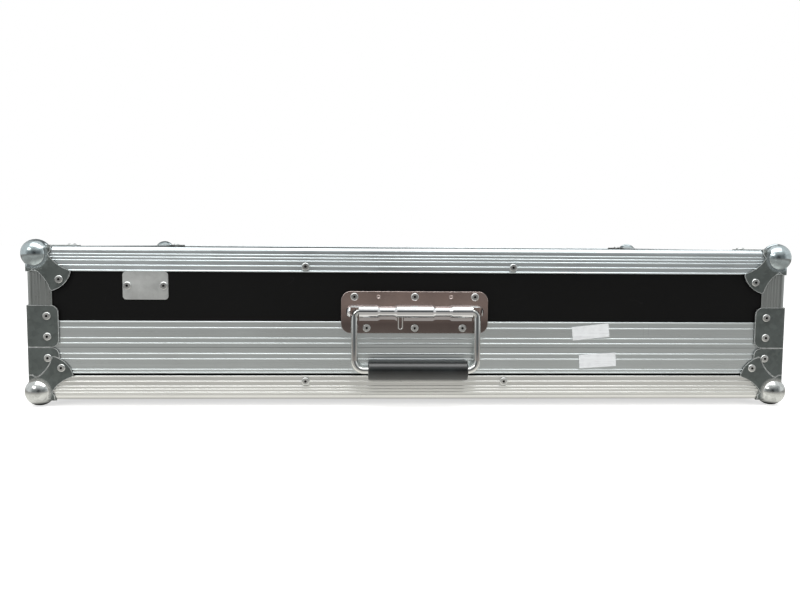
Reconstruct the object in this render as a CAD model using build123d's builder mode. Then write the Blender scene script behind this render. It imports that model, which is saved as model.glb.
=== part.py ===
from build123d import *
import os
from math import asin, cos, degrees, radians, sin, sqrt

# Flight case for a mixing console: a shallow base tray and a deep lid, hinged along the rear.
# Millimetres. +Z is up, -Y is the front with the carrying handle, +X is right seen from the front.
# The origin is the centre of the underside of the floor panel.

# Overall sizes, over the raised beads of the aluminium extrusions
LENGTH = 870.0
DEPTH = 520.0
BASE_HEIGHT = 60.5
LID_HEIGHT = 114.0
PARTING_GAP = 0.4

# Laminated plywood panels and the extrusions that hold their edges
PANEL = 7.0
PLAY = 0.1
SKIN = 1.5
BEAD = 0.6
BEAD_RADIUS = 0.83
EDGE_LEG = 28.0
EDGE_INNER_LEG = 22.0
EDGE_ROUND = 5.0
EDGE_BEADS = (6.9, 12.6, 16.1, 19.6)
RIM_LEG = 30.0
RIM_INNER_LEG = 20.0
LID_RIM_BEADS = (4.4, 10.2, 22.1)
BASE_RIM_BEADS = (7.2, 13.4, 25.5)
CORNER_ROUND = 4.0
MITRE_REACH = 34.0

# Tongue on the lid and groove in the base
GROOVE_DEPTH = 7.0
TONGUE_DEPTH = 5.0
TONGUE_ROOT = 5.0
TONGUE_TIP = 3.0

# Pressed steel ball corners and corner braces
SHEET = 1.4
BALL_RADIUS = 16.4
BALL_INSET = 8.5
WEB_WING = 28.5
WEB_WING_WIDTH = 4.5
WEB_NECK = (25.5, 9.0)
WEB_WAIST = (34.8, 19.6)
WEB_TIP = (50.3, 27.2)
WEB_REACH = 59.7
WEB_TIP_ROUND = 2.6
WEB_RIVET = 37.0
INNER_ROUND = 3.0
BRACE_WIDTH = 35.0
BRACE_HEIGHT = 47.5
BRACE_ROUND = 8.5
BRACE_RIVET_IN = 22.4
BRACE_RIVET_NEAR = 12.0
BRACE_RIVET_FAR = 35.4
COVER_GAP = 0.3

# Pop rivets
RIVET_HEAD_RADIUS = 4.7
RIVET_HEAD = 1.6
RIVET_SHANK_RADIUS = 2.4
RIVET_HOLE_RADIUS = 2.5
RIVET_EYE_RADIUS = 1.5
RIVET_EYE_DEPTH = 1.3
RIVET_CROWN_RADIUS = 3.4
RIVET_SHOULDER = (4.37, 1.0)
EDGE_RIVET_INSET = 21.4
TOP_EDGE_RIVETS = (-122.5, 115.0)
BOTTOM_EDGE_RIVETS = (-123.0, 106.0)
END_EDGE_RIVETS = (20.0,)

# Sprung bail handle on the front of the lid
HANDLE_X = 2.0
PLATE_WIDTH = 168.5
PLATE_HEIGHT = 48.2
PLATE_THICK = 1.6
PLATE_ROUND = 11.0
PLATE_OVER_PARTING = 16.7
PLATE_TOP_RIVETS = (-69.0, 0.0, 69.0)
PLATE_BOTTOM_RIVETS = (-55.0, 0.0, 55.0)
PLATE_RIVET_EDGE = 6.2
DIMPLE_X = 41.5
DIMPLE_RADIUS = 2.2
DIMPLE_FLOOR_RADIUS = 1.2
DIMPLE_DEPTH = 0.7
AXIS_HEIGHT = 25.4
BAIL_WIRE = 8.0
BAIL_SPREAD = 140.0
BAIL_REACH = 66.7
BAIL_SHIFT = 1.1
BAIL_TOP_BEND = 6.5
BAIL_LOW_BEND = 11.0
ROD_GAP = 6.0
GRIP_END_GAP = 13.5
GRIP_SHIFT = 2.4
GRIP_RADIUS = 11.0
GRIP_CLEAR = 0.5
GRIP_EDGE = 1.6
GRIP_FIT = 0.05
SADDLE_HOOD = 8.25
SADDLE_WALL = 1.3
SADDLE_WAIST_WALL = 1.6
SADDLE_BORE_CLEAR = 0.7
SADDLE_WAIST_CLEAR = 0.1
SADDLE_END_WALL = 1.4
WAIST_FROM = 23.5
WAIST_TO = 39.5
WAIST_TAPER = 3.0
SADDLE_FLANGE = 3.6
SADDLE_FLANGE_THICK = 1.3
SLOT_CLEAR = 0.7
SPRING_LENGTH = 36.0
SPRING_CLEAR = 0.3
SPRING_COIL = 0.9
SPRING_STANDOFF = 0.2
SPRING_WIRE = 1.6
SPRING_TAIL_X = -16.4
SPRING_TAIL_WIDTH = 4.6
SPRING_TAIL_DROP = 20.5
SPRING_TAIL_START = 2.2
SPRING_TAIL_BEND = 2.1

# Rivetted name plate, left blank, and two blank paper labels
BADGE_WIDTH = 51.0
BADGE_HEIGHT = 31.6
BADGE_THICK = 1.0
BADGE_ROUND = 4.0
BADGE_X = -303.0
BADGE_RIVET_X = 20.4
LABEL_LENGTH = 43.0
LABEL_WIDTH = 15.8
LABEL_THICK = 0.25
LABEL_ROUND = 0.6
LID_LABEL_X = 206.6
LID_LABEL_UP = 18.7
LID_LABEL_TILT = 6.0
BASE_LABEL_X = 215.4
BASE_LABEL_DOWN = 14.7
BASE_LABEL_TILT = 3.8

# Butt hinges along the rear parting line
HINGE_X = 230.0
HINGE_LENGTH = 60.0
HINGE_LEAF = 1.8
HINGE_LEAF_FROM = 3.2
HINGE_LEAF_TO = 27.0
KNUCKLE_RADIUS = 3.6
KNUCKLE_COUNT = 5
KNUCKLE_GAP = 0.3
KNUCKLE_STANDOFF = 0.8
HINGE_PIN_RADIUS = 1.5
HINGE_PIN_FIT = 0.05
HINGE_RIVET_X = 18.0
HINGE_RIVET_UP = 15.5

# Recessed turn latches, one in each end, towards the front
LATCH_Y = -130.0
DISH_BORDER = 12.0
DISH_BORDER_HIGH = 10.0
DISH_FLANGE = 1.4
DISH_ROUND = 6.0
PAN_WIDTH = 80.0
PAN_OVER_ROTOR = 22.0
PAN_BOTTOM = 30.0
PAN_WALL = 1.2
PAN_DEPTH = 18.6
PAN_ROUND = 5.0
DISH_CLEAR = 0.3
DISH_RIVET_EDGE = 6.0
DISH_RIVET_EDGE_HIGH = 8.0
DISH_RIVET_NEAR_UP = 16.0
DISH_RIVET_NEAR_DOWN = 12.0
ROTOR_UP = 30.0
ROTOR_HEAD_RADIUS = 18.0
ROTOR_HEAD_FACE = 5.8
ROTOR_HEAD_THICK = 1.6
ROTOR_NECK_RADIUS = 9.0
ROTOR_NECK_FIT = 0.05
ROTOR_FLANGE_RADIUS = 12.0
ROTOR_FLANGE_THICK = 1.8
HOUSING_SKIN = 1.4
HOUSING_CLEAR = 0.2
HOUSING_HALF = 14.0
CRANK_RADIUS = 3.5
CRANK_PIN_RADIUS = 2.5
CRANK_CLEAR = 1.1
HOOK_HALF = 12.0
HOOK_THICK = 1.6
HOOK_GUIDE_CLEAR = 0.4
HOOK_FACE_CLEAR = 0.3
HOOK_OVER_ROTOR = 9.5
HOOK_SHIFT = 2.4
HOOK_FOOT = 3.5
STRIKE_BAR_TOP = -8.0
STRIKE_BAR_BOTTOM = -12.0
STRIKE_HALF = 14.0
WING_RADIUS = 20.5
WING_THICK = 1.8
WING_FACE = 1.0
WING_AXIS_SIDE = 3.2
WING_AXIS_DEPTH = 3.2
WING_BARREL_RADIUS = 2.2
WING_PIN_RADIUS = 1.0
WING_PIN_FIT = 0.05
WING_BARREL_HALF = 12.5
LUG_CLEAR = 0.3
LUG_WIDTH = 2.4
LUG_RADIUS = 2.0
WING_NOTCH_RADIUS = 5.0

# Foam lining
FOAM_STRIP = 20.0
FOAM_PAD = 20.0
FOAM_LID_PAD = 15.0
FOAM_CLEAR = 0.3
FOAM_BELOW_RIM = 5.0
FOAM_POCKET = 0.5

# Depths measured inwards from the bead crests of an extrusion
LEG_INSIDE = BEAD + SKIN
INNER_FACE = LEG_INSIDE + PANEL + 2 * PLAY
INNER_BACK = INNER_FACE + SKIN
PANEL_OUTSIDE = LEG_INSIDE + PLAY
PANEL_INSIDE = PANEL_OUTSIDE + PANEL
PANEL_END = INNER_BACK + PLAY
SHANK_END = PANEL_INSIDE

# Planes of the closed case
HALF_X = LENGTH / 2
HALF_Y = DEPTH / 2
BOTTOM = -PANEL_OUTSIDE
PARTING = BOTTOM + BASE_HEIGHT
TOP = PARTING + LID_HEIGHT
RIM_TOP = PARTING - PARTING_GAP / 2
RIM_BOTTOM = PARTING + PARTING_GAP / 2
BASE_WALL_TOP = RIM_TOP - GROOVE_DEPTH - SKIN - PLAY
LID_WALL_BOTTOM = RIM_BOTTOM + SKIN + PLAY
LID_RIM_LIP = RIM_BOTTOM + RIM_LEG
EDGE_TOP_LIP = TOP - EDGE_LEG
HINGE_Y = HALF_Y + KNUCKLE_RADIUS + KNUCKLE_STANDOFF

# Handle: the spring lies round the wire, the saddle round the spring
PLATE_BOTTOM = PARTING + PLATE_OVER_PARTING
SPRING_INNER = BAIL_WIRE / 2 + SPRING_CLEAR
SPRING_OUTER = SPRING_INNER + SPRING_COIL
AXIS_OFFSET = SPRING_OUTER + SPRING_STANDOFF
SADDLE_BORE = SPRING_OUTER + SADDLE_BORE_CLEAR
SADDLE_RADIUS = SADDLE_BORE + SADDLE_WALL
SADDLE_WAIST_BORE = BAIL_WIRE / 2 + SADDLE_WAIST_CLEAR
SADDLE_WAIST_RADIUS = SADDLE_WAIST_BORE + SADDLE_WAIST_WALL
SADDLE_LENGTH = BAIL_SPREAD + 2 * SADDLE_HOOD
GRIP_LENGTH = BAIL_SPREAD - 2 * GRIP_END_GAP
BAIL_X = HANDLE_X + BAIL_SHIFT
PLATE_FACE_Y = -HALF_Y - PLATE_THICK
HANDLE_AXIS_Y = PLATE_FACE_Y - AXIS_OFFSET
HANDLE_AXIS_Z = PLATE_BOTTOM + AXIS_HEIGHT
GRIP_LEAN = GRIP_RADIUS + GRIP_CLEAR - PLATE_THICK - AXIS_OFFSET
BAIL_LEAN = degrees(asin(GRIP_LEAN / BAIL_REACH))

# Latch: the pan clears the rotor, and the dish borders the pan
PAN_TOP = ROTOR_UP + PAN_OVER_ROTOR
DISH_WIDTH = PAN_WIDTH + 2 * DISH_BORDER
DISH_TOP = PAN_TOP + DISH_BORDER_HIGH
DISH_BOTTOM = PAN_BOTTOM + DISH_BORDER_HIGH
DISH_RIVET_SIDE = DISH_WIDTH / 2 - DISH_RIVET_EDGE
DISH_RIVET_UP = (DISH_RIVET_NEAR_UP, DISH_TOP - DISH_RIVET_EDGE_HIGH)
DISH_RIVET_DOWN = (-DISH_RIVET_NEAR_DOWN, DISH_RIVET_EDGE_HIGH - DISH_BOTTOM)
HOOK_TOP = ROTOR_UP + HOOK_OVER_ROTOR

UP = Vector(0, 0, 1)
INWARD = {
    "front": Vector(0, 1, 0),
    "rear": Vector(0, -1, 0),
    "left": Vector(1, 0, 0),
    "right": Vector(-1, 0, 0),
    "bottom": Vector(0, 0, 1),
    "top": Vector(0, 0, -1),
}
FACE_AT = {
    "front": HALF_Y,
    "rear": HALF_Y,
    "left": HALF_X,
    "right": HALF_X,
    "bottom": -BOTTOM,
    "top": TOP,
}
HALF_RUN = {"front": HALF_X, "rear": HALF_X, "left": HALF_Y, "right": HALF_Y}
SIDES = ("front", "rear", "left", "right")

os.makedirs("parts", exist_ok=True)


def save(piece, name):
    """Names a finished piece and writes its file."""
    piece.label = name
    export_step(piece, f"parts/{name}.step")


def section_plane(side, height):
    """Upright plane across a side: x is the depth inwards from the crests, y is up."""
    inward = INWARD[side]
    return Plane(inward * -FACE_AT[side] + UP * height, x_dir=inward, z_dir=inward.cross(UP))


def plan_plane(side, height):
    """Level plane at a side: x runs along the side, y is the depth inwards."""
    inward = INWARD[side]
    return Plane(inward * -FACE_AT[side] + UP * height, x_dir=inward.cross(UP), z_dir=UP)


def bar(x_from, x_to, y_from, y_to, mode=Mode.ADD):
    """Rectangle between two corners, in the sketch being drawn."""
    with Locations(((x_from + x_to) / 2, (y_from + y_to) / 2)):
        Rectangle(abs(x_to - x_from), abs(y_to - y_from), mode=mode)


def block(x_from, x_to, y_from, y_to, z_from, z_to, mode=Mode.ADD):
    """Box between two corners, in the part being built."""
    with Locations(((x_from + x_to) / 2, (y_from + y_to) / 2, (z_from + z_to) / 2)):
        Box(abs(x_to - x_from), abs(y_to - y_from), abs(z_to - z_from), mode=mode)


def seat(side, point, proud):
    """Seat of a rivet on a side of the case: its plane, normal outwards, and its height over the crests."""
    inward = INWARD[side]
    place = Vector(*point)
    place = place - inward * (place.dot(inward) + FACE_AT[side] + proud)
    return Plane(place, z_dir=inward * -1), proud


def drill(seats):
    """Rivet holes at the given seats, through to the inner face of the panel."""
    for height in sorted({proud for place, proud in seats}):
        with Locations(*[place for place, proud in seats if proud == height]):
            Cylinder(RIVET_HOLE_RADIUS, 2 * (height + SHANK_END) + PLAY, mode=Mode.SUBTRACT)


def corner_signs():
    """The four upright corners as signs along X and Y."""
    return [(x_sign, y_sign) for x_sign in (-1, 1) for y_sign in (-1, 1)]


def corner_seats(level, side_height, proud, inset, faces):
    """Rivet seats that repeat at the four upright corners, by side of the case."""
    found = {face: [] for face in faces}
    for x_sign, y_sign in corner_signs():
        x_face = "left" if x_sign < 0 else "right"
        y_face = "front" if y_sign < 0 else "rear"
        found[y_face].append(seat(y_face, (x_sign * (HALF_X - inset), 0, side_height), proud))
        found[x_face].append(seat(x_face, (0, y_sign * (HALF_Y - inset), side_height), proud))
        if level:
            flat = (x_sign * (HALF_X - inset), y_sign * (HALF_Y - inset), 0)
            found[level].append(seat(level, flat, proud))
    return found


def gather(*groups):
    """Joins several sets of rivet seats, side by side."""
    joined = {}
    for group in groups:
        for side, seats in group.items():
            joined.setdefault(side, []).extend(seats)
    return joined


def hinge_seats(up):
    """Rivet seats of one row of hinge leaves, above or below the parting."""
    seats = []
    for x_sign in (-1, 1):
        for along in (-HINGE_RIVET_X, HINGE_RIVET_X):
            seats.append(seat("rear", (x_sign * HINGE_X + along, 0, PARTING + up), HINGE_LEAF))
    return {"rear": seats}


def dish_seats(heights):
    """Rivet seats of the latch dishes on both ends, at heights from the parting."""
    found = {"left": [], "right": []}
    proud = DISH_FLANGE - PANEL_OUTSIDE
    for side in found:
        for along in (-DISH_RIVET_SIDE, DISH_RIVET_SIDE):
            for height in heights:
                found[side].append(seat(side, (0, LATCH_Y + along, PARTING + height), proud))
    return found


def edge_seats(positions, height):
    """Rivet seats along the edge extrusions, spaced on the long sides and the ends."""
    found = {side: [] for side in SIDES}
    for side in ("front", "rear"):
        found[side] = [seat(side, (x, 0, height), 0) for x in positions]
    for side in ("left", "right"):
        found[side] = [seat(side, (0, y, height), 0) for y in END_EDGE_RIVETS]
    return found


BASE_SEATS = gather(
    corner_seats("bottom", BOTTOM + WEB_RIVET, SHEET, WEB_RIVET, SIDES + ("bottom",)),
    corner_seats(None, RIM_TOP - BRACE_RIVET_NEAR, SHEET, BRACE_RIVET_IN, SIDES),
    edge_seats(BOTTOM_EDGE_RIVETS, BOTTOM + EDGE_RIVET_INSET),
    hinge_seats(-HINGE_RIVET_UP),
    dish_seats(DISH_RIVET_DOWN),
)
BADGE_Z = EDGE_TOP_LIP - PLAY - BADGE_HEIGHT / 2
HANDLE_SEATS = [
    seat("front", (HANDLE_X + x, 0, PLATE_BOTTOM + PLATE_HEIGHT - PLATE_RIVET_EDGE), PLATE_THICK)
    for x in PLATE_TOP_RIVETS
] + [
    seat("front", (HANDLE_X + x, 0, PLATE_BOTTOM + PLATE_RIVET_EDGE), PLATE_THICK)
    for x in PLATE_BOTTOM_RIVETS
]
BADGE_SEATS = [
    seat("front", (BADGE_X + x, 0, BADGE_Z), BADGE_THICK - PANEL_OUTSIDE)
    for x in (-BADGE_RIVET_X, BADGE_RIVET_X)
]
LID_SEATS = gather(
    corner_seats("top", TOP - WEB_RIVET, SHEET, WEB_RIVET, SIDES + ("top",)),
    corner_seats(None, RIM_BOTTOM + BRACE_RIVET_NEAR, SHEET, BRACE_RIVET_IN, SIDES),
    corner_seats(None, RIM_BOTTOM + BRACE_RIVET_FAR, SHEET, BRACE_RIVET_IN, SIDES),
    edge_seats(TOP_EDGE_RIVETS, TOP - EDGE_RIVET_INSET),
    hinge_seats(HINGE_RIVET_UP),
    dish_seats(DISH_RIVET_UP),
    {"front": HANDLE_SEATS + BADGE_SEATS},
)


def mitre_outline(side, reach):
    """Outline in plan that cuts one side of a frame to its two mitres, with rounded outer corners."""
    half = HALF_RUN[side]
    bend = CORNER_ROUND * (1 - cos(radians(45)))
    third = CORNER_ROUND * sin(radians(22.5))
    rise = CORNER_ROUND * (1 - cos(radians(22.5)))
    with BuildLine() as outline:
        Line((-half + CORNER_ROUND, 0), (half - CORNER_ROUND, 0))
        ThreePointArc(
            (half - CORNER_ROUND, 0),
            (half - CORNER_ROUND + third, rise),
            (half - bend, bend),
        )
        Polyline((half - bend, bend), (half - reach, reach), (-half + reach, reach), (-half + bend, bend))
        ThreePointArc(
            (-half + bend, bend),
            (-half + CORNER_ROUND - third, rise),
            (-half + CORNER_ROUND, 0),
        )
    make_face(outline.edges())


def double_angle():
    """Section of the edge extrusion, its corner at the origin: two outer and two inner legs."""
    bar(0, EDGE_ROUND + BEAD, 0, EDGE_ROUND + BEAD)
    corner = vertices().sort_by(lambda v: v.X + v.Y)[0]
    fillet(corner, EDGE_ROUND)
    bar(BEAD, LEG_INSIDE, EDGE_ROUND, EDGE_LEG - BEAD)
    bar(EDGE_ROUND, EDGE_LEG - BEAD, BEAD, LEG_INSIDE)
    for distance in EDGE_BEADS:
        with Locations((BEAD_RADIUS, EDGE_LEG - distance), (EDGE_LEG - distance, BEAD_RADIUS)):
            Circle(BEAD_RADIUS)
    lip = EDGE_LEG - LEG_INSIDE / 2
    with Locations((LEG_INSIDE / 2, lip), (lip, LEG_INSIDE / 2)):
        Circle(LEG_INSIDE / 2)
    bar(LEG_INSIDE, INNER_BACK, LEG_INSIDE, INNER_BACK)
    bar(INNER_FACE, INNER_BACK, INNER_FACE, EDGE_INNER_LEG)
    bar(INNER_FACE, EDGE_INNER_LEG, INNER_FACE, INNER_BACK)
    with Locations(((LEG_INSIDE + INNER_FACE) / 2, (LEG_INSIDE + INNER_FACE) / 2)):
        Rectangle(INNER_FACE - LEG_INSIDE, INNER_FACE - LEG_INSIDE, mode=Mode.SUBTRACT)


def edge_extrusion(side, seats):
    """Bottom edge extrusion along one side, mitred at both ends."""
    half = HALF_RUN[side]
    with BuildPart() as piece:
        with BuildSketch(section_plane(side, BOTTOM)):
            double_angle()
        extrude(amount=half, both=True)
        with BuildSketch(plan_plane(side, BOTTOM - SKIN)):
            mitre_outline(side, MITRE_REACH)
        extrude(amount=2 * EDGE_LEG, mode=Mode.INTERSECT)
        drill(seats)
    return piece.part


def rim_section(direction, channel, beads):
    """Section of a rim extrusion; direction is +1 for the lid and -1 for the base."""
    bar(BEAD, LEG_INSIDE, 0, direction * (RIM_LEG - BEAD))
    for distance in beads:
        with Locations((BEAD_RADIUS, direction * distance)):
            Circle(BEAD_RADIUS)
    with Locations((LEG_INSIDE / 2, direction * (RIM_LEG - LEG_INSIDE / 2))):
        Circle(LEG_INSIDE / 2)
    bar(INNER_FACE, INNER_BACK, 0, direction * RIM_INNER_LEG)
    bar(BEAD, INNER_BACK, direction * channel, direction * (channel + SKIN))


def tongue_outline():
    """Tapered tongue under the lid rim, centred over the groove."""
    middle = (LEG_INSIDE + INNER_FACE) / 2
    with BuildLine() as outline:
        Polyline(
            (middle - TONGUE_ROOT / 2, SKIN / 2),
            (middle - TONGUE_ROOT / 2, 0),
            (middle - TONGUE_TIP / 2, -TONGUE_DEPTH),
            (middle + TONGUE_TIP / 2, -TONGUE_DEPTH),
            (middle + TONGUE_ROOT / 2, 0),
            (middle + TONGUE_ROOT / 2, SKIN / 2),
            close=True,
        )
    make_face(outline.edges())


def cut_for_dish(side, low, high, depth):
    """Clears a rim or an edge extrusion away over the width of the latch dish."""
    if side in ("left", "right"):
        sign = -1 if side == "left" else 1
        half = DISH_WIDTH / 2 + DISH_CLEAR
        inner = sign * (HALF_X - depth)
        outer = sign * (HALF_X + SHEET)
        block(inner, outer, LATCH_Y - half, LATCH_Y + half, low, high, mode=Mode.SUBTRACT)


def base_rim(side, seats):
    """Grooved rim along one side of the base."""
    with BuildPart() as piece:
        with BuildSketch(section_plane(side, RIM_TOP)):
            rim_section(-1, GROOVE_DEPTH, BASE_RIM_BEADS)
        extrude(amount=HALF_RUN[side], both=True)
        with BuildSketch(plan_plane(side, RIM_TOP - RIM_LEG - SKIN)):
            mitre_outline(side, MITRE_REACH)
        extrude(amount=2 * RIM_LEG, mode=Mode.INTERSECT)
        cut_for_dish(side, RIM_TOP - RIM_LEG - SKIN, RIM_TOP + SKIN, 2 * INNER_BACK)
        drill(seats)
    return piece.part


def lid_rim(side, seats):
    """Tongued rim along one side of the lid."""
    with BuildPart() as piece:
        with BuildSketch(section_plane(side, RIM_BOTTOM)):
            rim_section(1, 0, LID_RIM_BEADS)
            tongue_outline()
        extrude(amount=HALF_RUN[side], both=True)
        with BuildSketch(plan_plane(side, RIM_BOTTOM - 2 * TONGUE_DEPTH)):
            mitre_outline(side, MITRE_REACH)
        extrude(amount=2 * RIM_LEG, mode=Mode.INTERSECT)
        cut_for_dish(side, RIM_BOTTOM - 2 * TONGUE_DEPTH, LID_RIM_LIP + SKIN, 2 * INNER_BACK)
        drill(seats)
    return piece.part


def wall(side, half, low, high, seats, pan_low, pan_high):
    """Upright panel along one side, with the opening for the latch pan in the end panels."""
    with BuildPart() as piece:
        with BuildSketch(plan_plane(side, low)):
            bar(-half, half, PANEL_OUTSIDE, PANEL_INSIDE)
        extrude(amount=high - low)
        if side in ("left", "right"):
            sign = -1 if side == "left" else 1
            gap = PAN_WIDTH / 2 + PAN_WALL + DISH_CLEAR
            span = (sign * (HALF_X - 2 * PANEL_INSIDE), sign * HALF_X)
            block(*span, LATCH_Y - gap, LATCH_Y + gap, pan_low, pan_high, mode=Mode.SUBTRACT)
        drill(seats)
    return piece.part


# Base tray
with BuildPart() as base_floor:
    block(
        -(HALF_X - PANEL_END),
        HALF_X - PANEL_END,
        -(HALF_Y - PANEL_END),
        HALF_Y - PANEL_END,
        0,
        PANEL,
    )
    drill(BASE_SEATS["bottom"])
save(base_floor.part, "base_floor_panel")

for side in SIDES:
    half = HALF_X - PANEL_OUTSIDE if side in ("front", "rear") else HALF_Y - INNER_FACE
    low = BOTTOM + PANEL_END
    pan_low = PARTING - PAN_BOTTOM - PAN_WALL - DISH_CLEAR
    panel = wall(side, half, low, BASE_WALL_TOP, BASE_SEATS[side], pan_low, PARTING)
    save(panel, f"base_wall_{side}")
    save(base_rim(side, BASE_SEATS[side]), f"base_rim_{side}")

for side in SIDES:
    seats = BASE_SEATS[side] + BASE_SEATS["bottom"]
    raw = edge_extrusion(side, seats)
    with BuildPart() as edge:
        add(raw)
        cut_for_dish(side, PARTING - DISH_BOTTOM - DISH_CLEAR, PARTING, INNER_FACE - PLAY)
    save(edge.part, f"base_edge_{side}")

# Lid shell
with BuildPart() as lid_top:
    block(
        -(HALF_X - PANEL_END),
        HALF_X - PANEL_END,
        -(HALF_Y - PANEL_END),
        HALF_Y - PANEL_END,
        TOP - PANEL_INSIDE,
        TOP - PANEL_OUTSIDE,
    )
    drill(LID_SEATS["top"])
save(lid_top.part, "lid_top_panel")

for side in SIDES:
    half = HALF_RUN[side] - PANEL_END
    high = TOP - PANEL_END
    pan_high = PARTING + PAN_TOP + PAN_WALL + DISH_CLEAR
    panel = wall(side, half, LID_WALL_BOTTOM, high, LID_SEATS[side], PARTING, pan_high)
    save(panel, f"lid_wall_{side}")
    save(lid_rim(side, LID_SEATS[side]), f"lid_rim_{side}")

middle_plane = Plane.XY.offset((BOTTOM + TOP) / 2)
for side in SIDES:
    raw = mirror(edge_extrusion(side, []), about=middle_plane)
    with BuildPart() as edge:
        add(raw)
        drill(LID_SEATS[side] + LID_SEATS["top"])
    save(edge.part, f"lid_edge_{side}")

with BuildPart() as one_corner_angle:
    with BuildSketch(Plane((-HALF_X, -HALF_Y, LID_RIM_LIP))):
        double_angle()
    extrude(amount=EDGE_TOP_LIP - LID_RIM_LIP)


def at_four_corners(piece):
    """A piece of the front left corner, with its copies at the other upright corners."""
    front_right = mirror(piece, about=Plane.YZ)
    rear_left = mirror(piece, about=Plane.XZ)
    rear_right = mirror(front_right, about=Plane.XZ)
    return [piece, front_right, rear_left, rear_right]


with BuildPart() as corner_angles:
    for copy in at_four_corners(one_corner_angle.part):
        add(copy)
    for side in SIDES:
        drill(LID_SEATS[side])
save(corner_angles.part, "lid_corner_angles")


# Ball corners and braces, drawn at a corner with the case in the positive octant
def web_outline(margin):
    """Outline of one web of the ball corner, with each edge moved outwards by a margin."""
    slant = sin(radians(45))
    start, wing, wing_side = -SHEET - margin, WEB_WING + margin, WEB_WING_WIDTH + margin
    neck = (WEB_NECK[0] + margin * (1 + sqrt(2)), WEB_NECK[1] + margin)
    waist = (WEB_WAIST[0] + margin * slant, WEB_WAIST[1] - margin * slant)
    tip = (WEB_TIP[0] + margin * sqrt(2), WEB_TIP[1])
    arc_mid = (WEB_REACH + margin) * slant
    with BuildLine() as outline:
        Polyline((start, start), (wing, start), (wing, wing_side), neck)
        ThreePointArc(neck, waist, tip)
        ThreePointArc(tip, (arc_mid, arc_mid), tip[::-1])
        ThreePointArc(tip[::-1], waist[::-1], neck[::-1])
        Polyline(neck[::-1], (wing_side, wing), (start, wing), (start, start))
    make_face(outline.edges())
    tips = vertices().sort_by(lambda v: v.X + v.Y)[-2:]
    fillet(tips, WEB_TIP_ROUND + margin)


FRONT_WEB = Plane((0, -SHEET, 0), x_dir=(0, 0, 1), z_dir=(0, 1, 0))
END_WEB = Plane((-SHEET, 0, 0), x_dir=(0, 1, 0), z_dir=(1, 0, 0))
LEVEL_WEB = Plane((0, 0, -SHEET), x_dir=(1, 0, 0), z_dir=(0, 0, 1))


def rounded_octant(start, size, radius):
    """Block from a corner point inwards, its three edges at that point rounded."""
    with BuildPart() as octant:
        block(start, size, start, size, start, size)
        near = octant.edges().sort_by(lambda e: (e @ 0.5).X + (e @ 0.5).Y + (e @ 0.5).Z)[:3]
        fillet(near, radius)
    return octant.part


outer_octant = rounded_octant(-SHEET, 2 * WEB_REACH, INNER_ROUND + SHEET)
inner_octant = rounded_octant(0, 3 * WEB_REACH, INNER_ROUND)

with BuildPart() as web_shell:
    with BuildSketch(FRONT_WEB, END_WEB, LEVEL_WEB):
        web_outline(0)
    extrude(amount=SHEET + INNER_ROUND)
    add(outer_octant, mode=Mode.INTERSECT)
    add(inner_octant, mode=Mode.SUBTRACT)
    with Locations((BALL_INSET, BALL_INSET, BALL_INSET)):
        Sphere(BALL_RADIUS - SHEET, mode=Mode.SUBTRACT)

with BuildPart() as ball_shell:
    with Locations((BALL_INSET, BALL_INSET, BALL_INSET)):
        Sphere(BALL_RADIUS)
        Sphere(BALL_RADIUS - SHEET, mode=Mode.SUBTRACT)
    add(inner_octant, mode=Mode.SUBTRACT)

with BuildPart() as ball_corner:
    add(web_shell.part)
    add(ball_shell.part)
    for plane in (FRONT_WEB, END_WEB, LEVEL_WEB):
        with Locations(plane.location * Location((WEB_RIVET, WEB_RIVET, 0))):
            Cylinder(RIVET_HOLE_RADIUS, 4 * SHEET, mode=Mode.SUBTRACT)

lower_place = Location((-HALF_X, -HALF_Y, BOTTOM))
lower_corner = ball_corner.part.moved(lower_place)
upper_corner = mirror(lower_corner, about=middle_plane)

with BuildPart() as base_corners:
    for copy in at_four_corners(lower_corner):
        add(copy)
save(base_corners.part, "base_ball_corners")

with BuildPart() as lid_corners:
    for copy in at_four_corners(upper_corner):
        add(copy)
save(lid_corners.part, "lid_ball_corners")


def brace(low):
    """L-shaped corner brace, from a height over the lower corner."""
    with BuildPart() as piece:
        with BuildSketch(Plane.XY.offset(low)):
            bar(-SHEET, BRACE_WIDTH, -SHEET, BRACE_WIDTH)
            fillet(vertices().sort_by(lambda v: v.X + v.Y)[0], INNER_ROUND + SHEET)
        extrude(amount=BRACE_HEIGHT)
        add(inner_octant.moved(Location((0, 0, low - WEB_REACH))), mode=Mode.SUBTRACT)
        fillet(piece.edges().filter_by(Axis.Y).group_by(Axis.X)[-1], BRACE_ROUND)
        fillet(piece.edges().filter_by(Axis.X).group_by(Axis.Y)[-1], BRACE_ROUND)
    return piece.part


with BuildPart() as web_cover:
    with BuildSketch(FRONT_WEB.offset(-SHEET), END_WEB.offset(-SHEET)):
        web_outline(COVER_GAP)
    extrude(amount=4 * SHEET)

with BuildPart() as base_brace:
    add(brace(RIM_TOP - BOTTOM - BRACE_HEIGHT))
    add(web_cover.part, mode=Mode.SUBTRACT)
clear_of_webs = base_brace.part.solids().sort_by(SortBy.VOLUME)[-1]

with BuildPart() as base_braces:
    for copy in at_four_corners(clear_of_webs.moved(lower_place)):
        add(copy)
    for side in SIDES:
        drill(BASE_SEATS[side])
save(base_braces.part, "base_corner_braces")

with BuildPart() as lid_braces:
    for copy in at_four_corners(brace(RIM_BOTTOM - BOTTOM).moved(lower_place)):
        add(copy)
    for side in SIDES:
        drill(LID_SEATS[side])
save(lid_braces.part, "lid_corner_braces")


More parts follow.
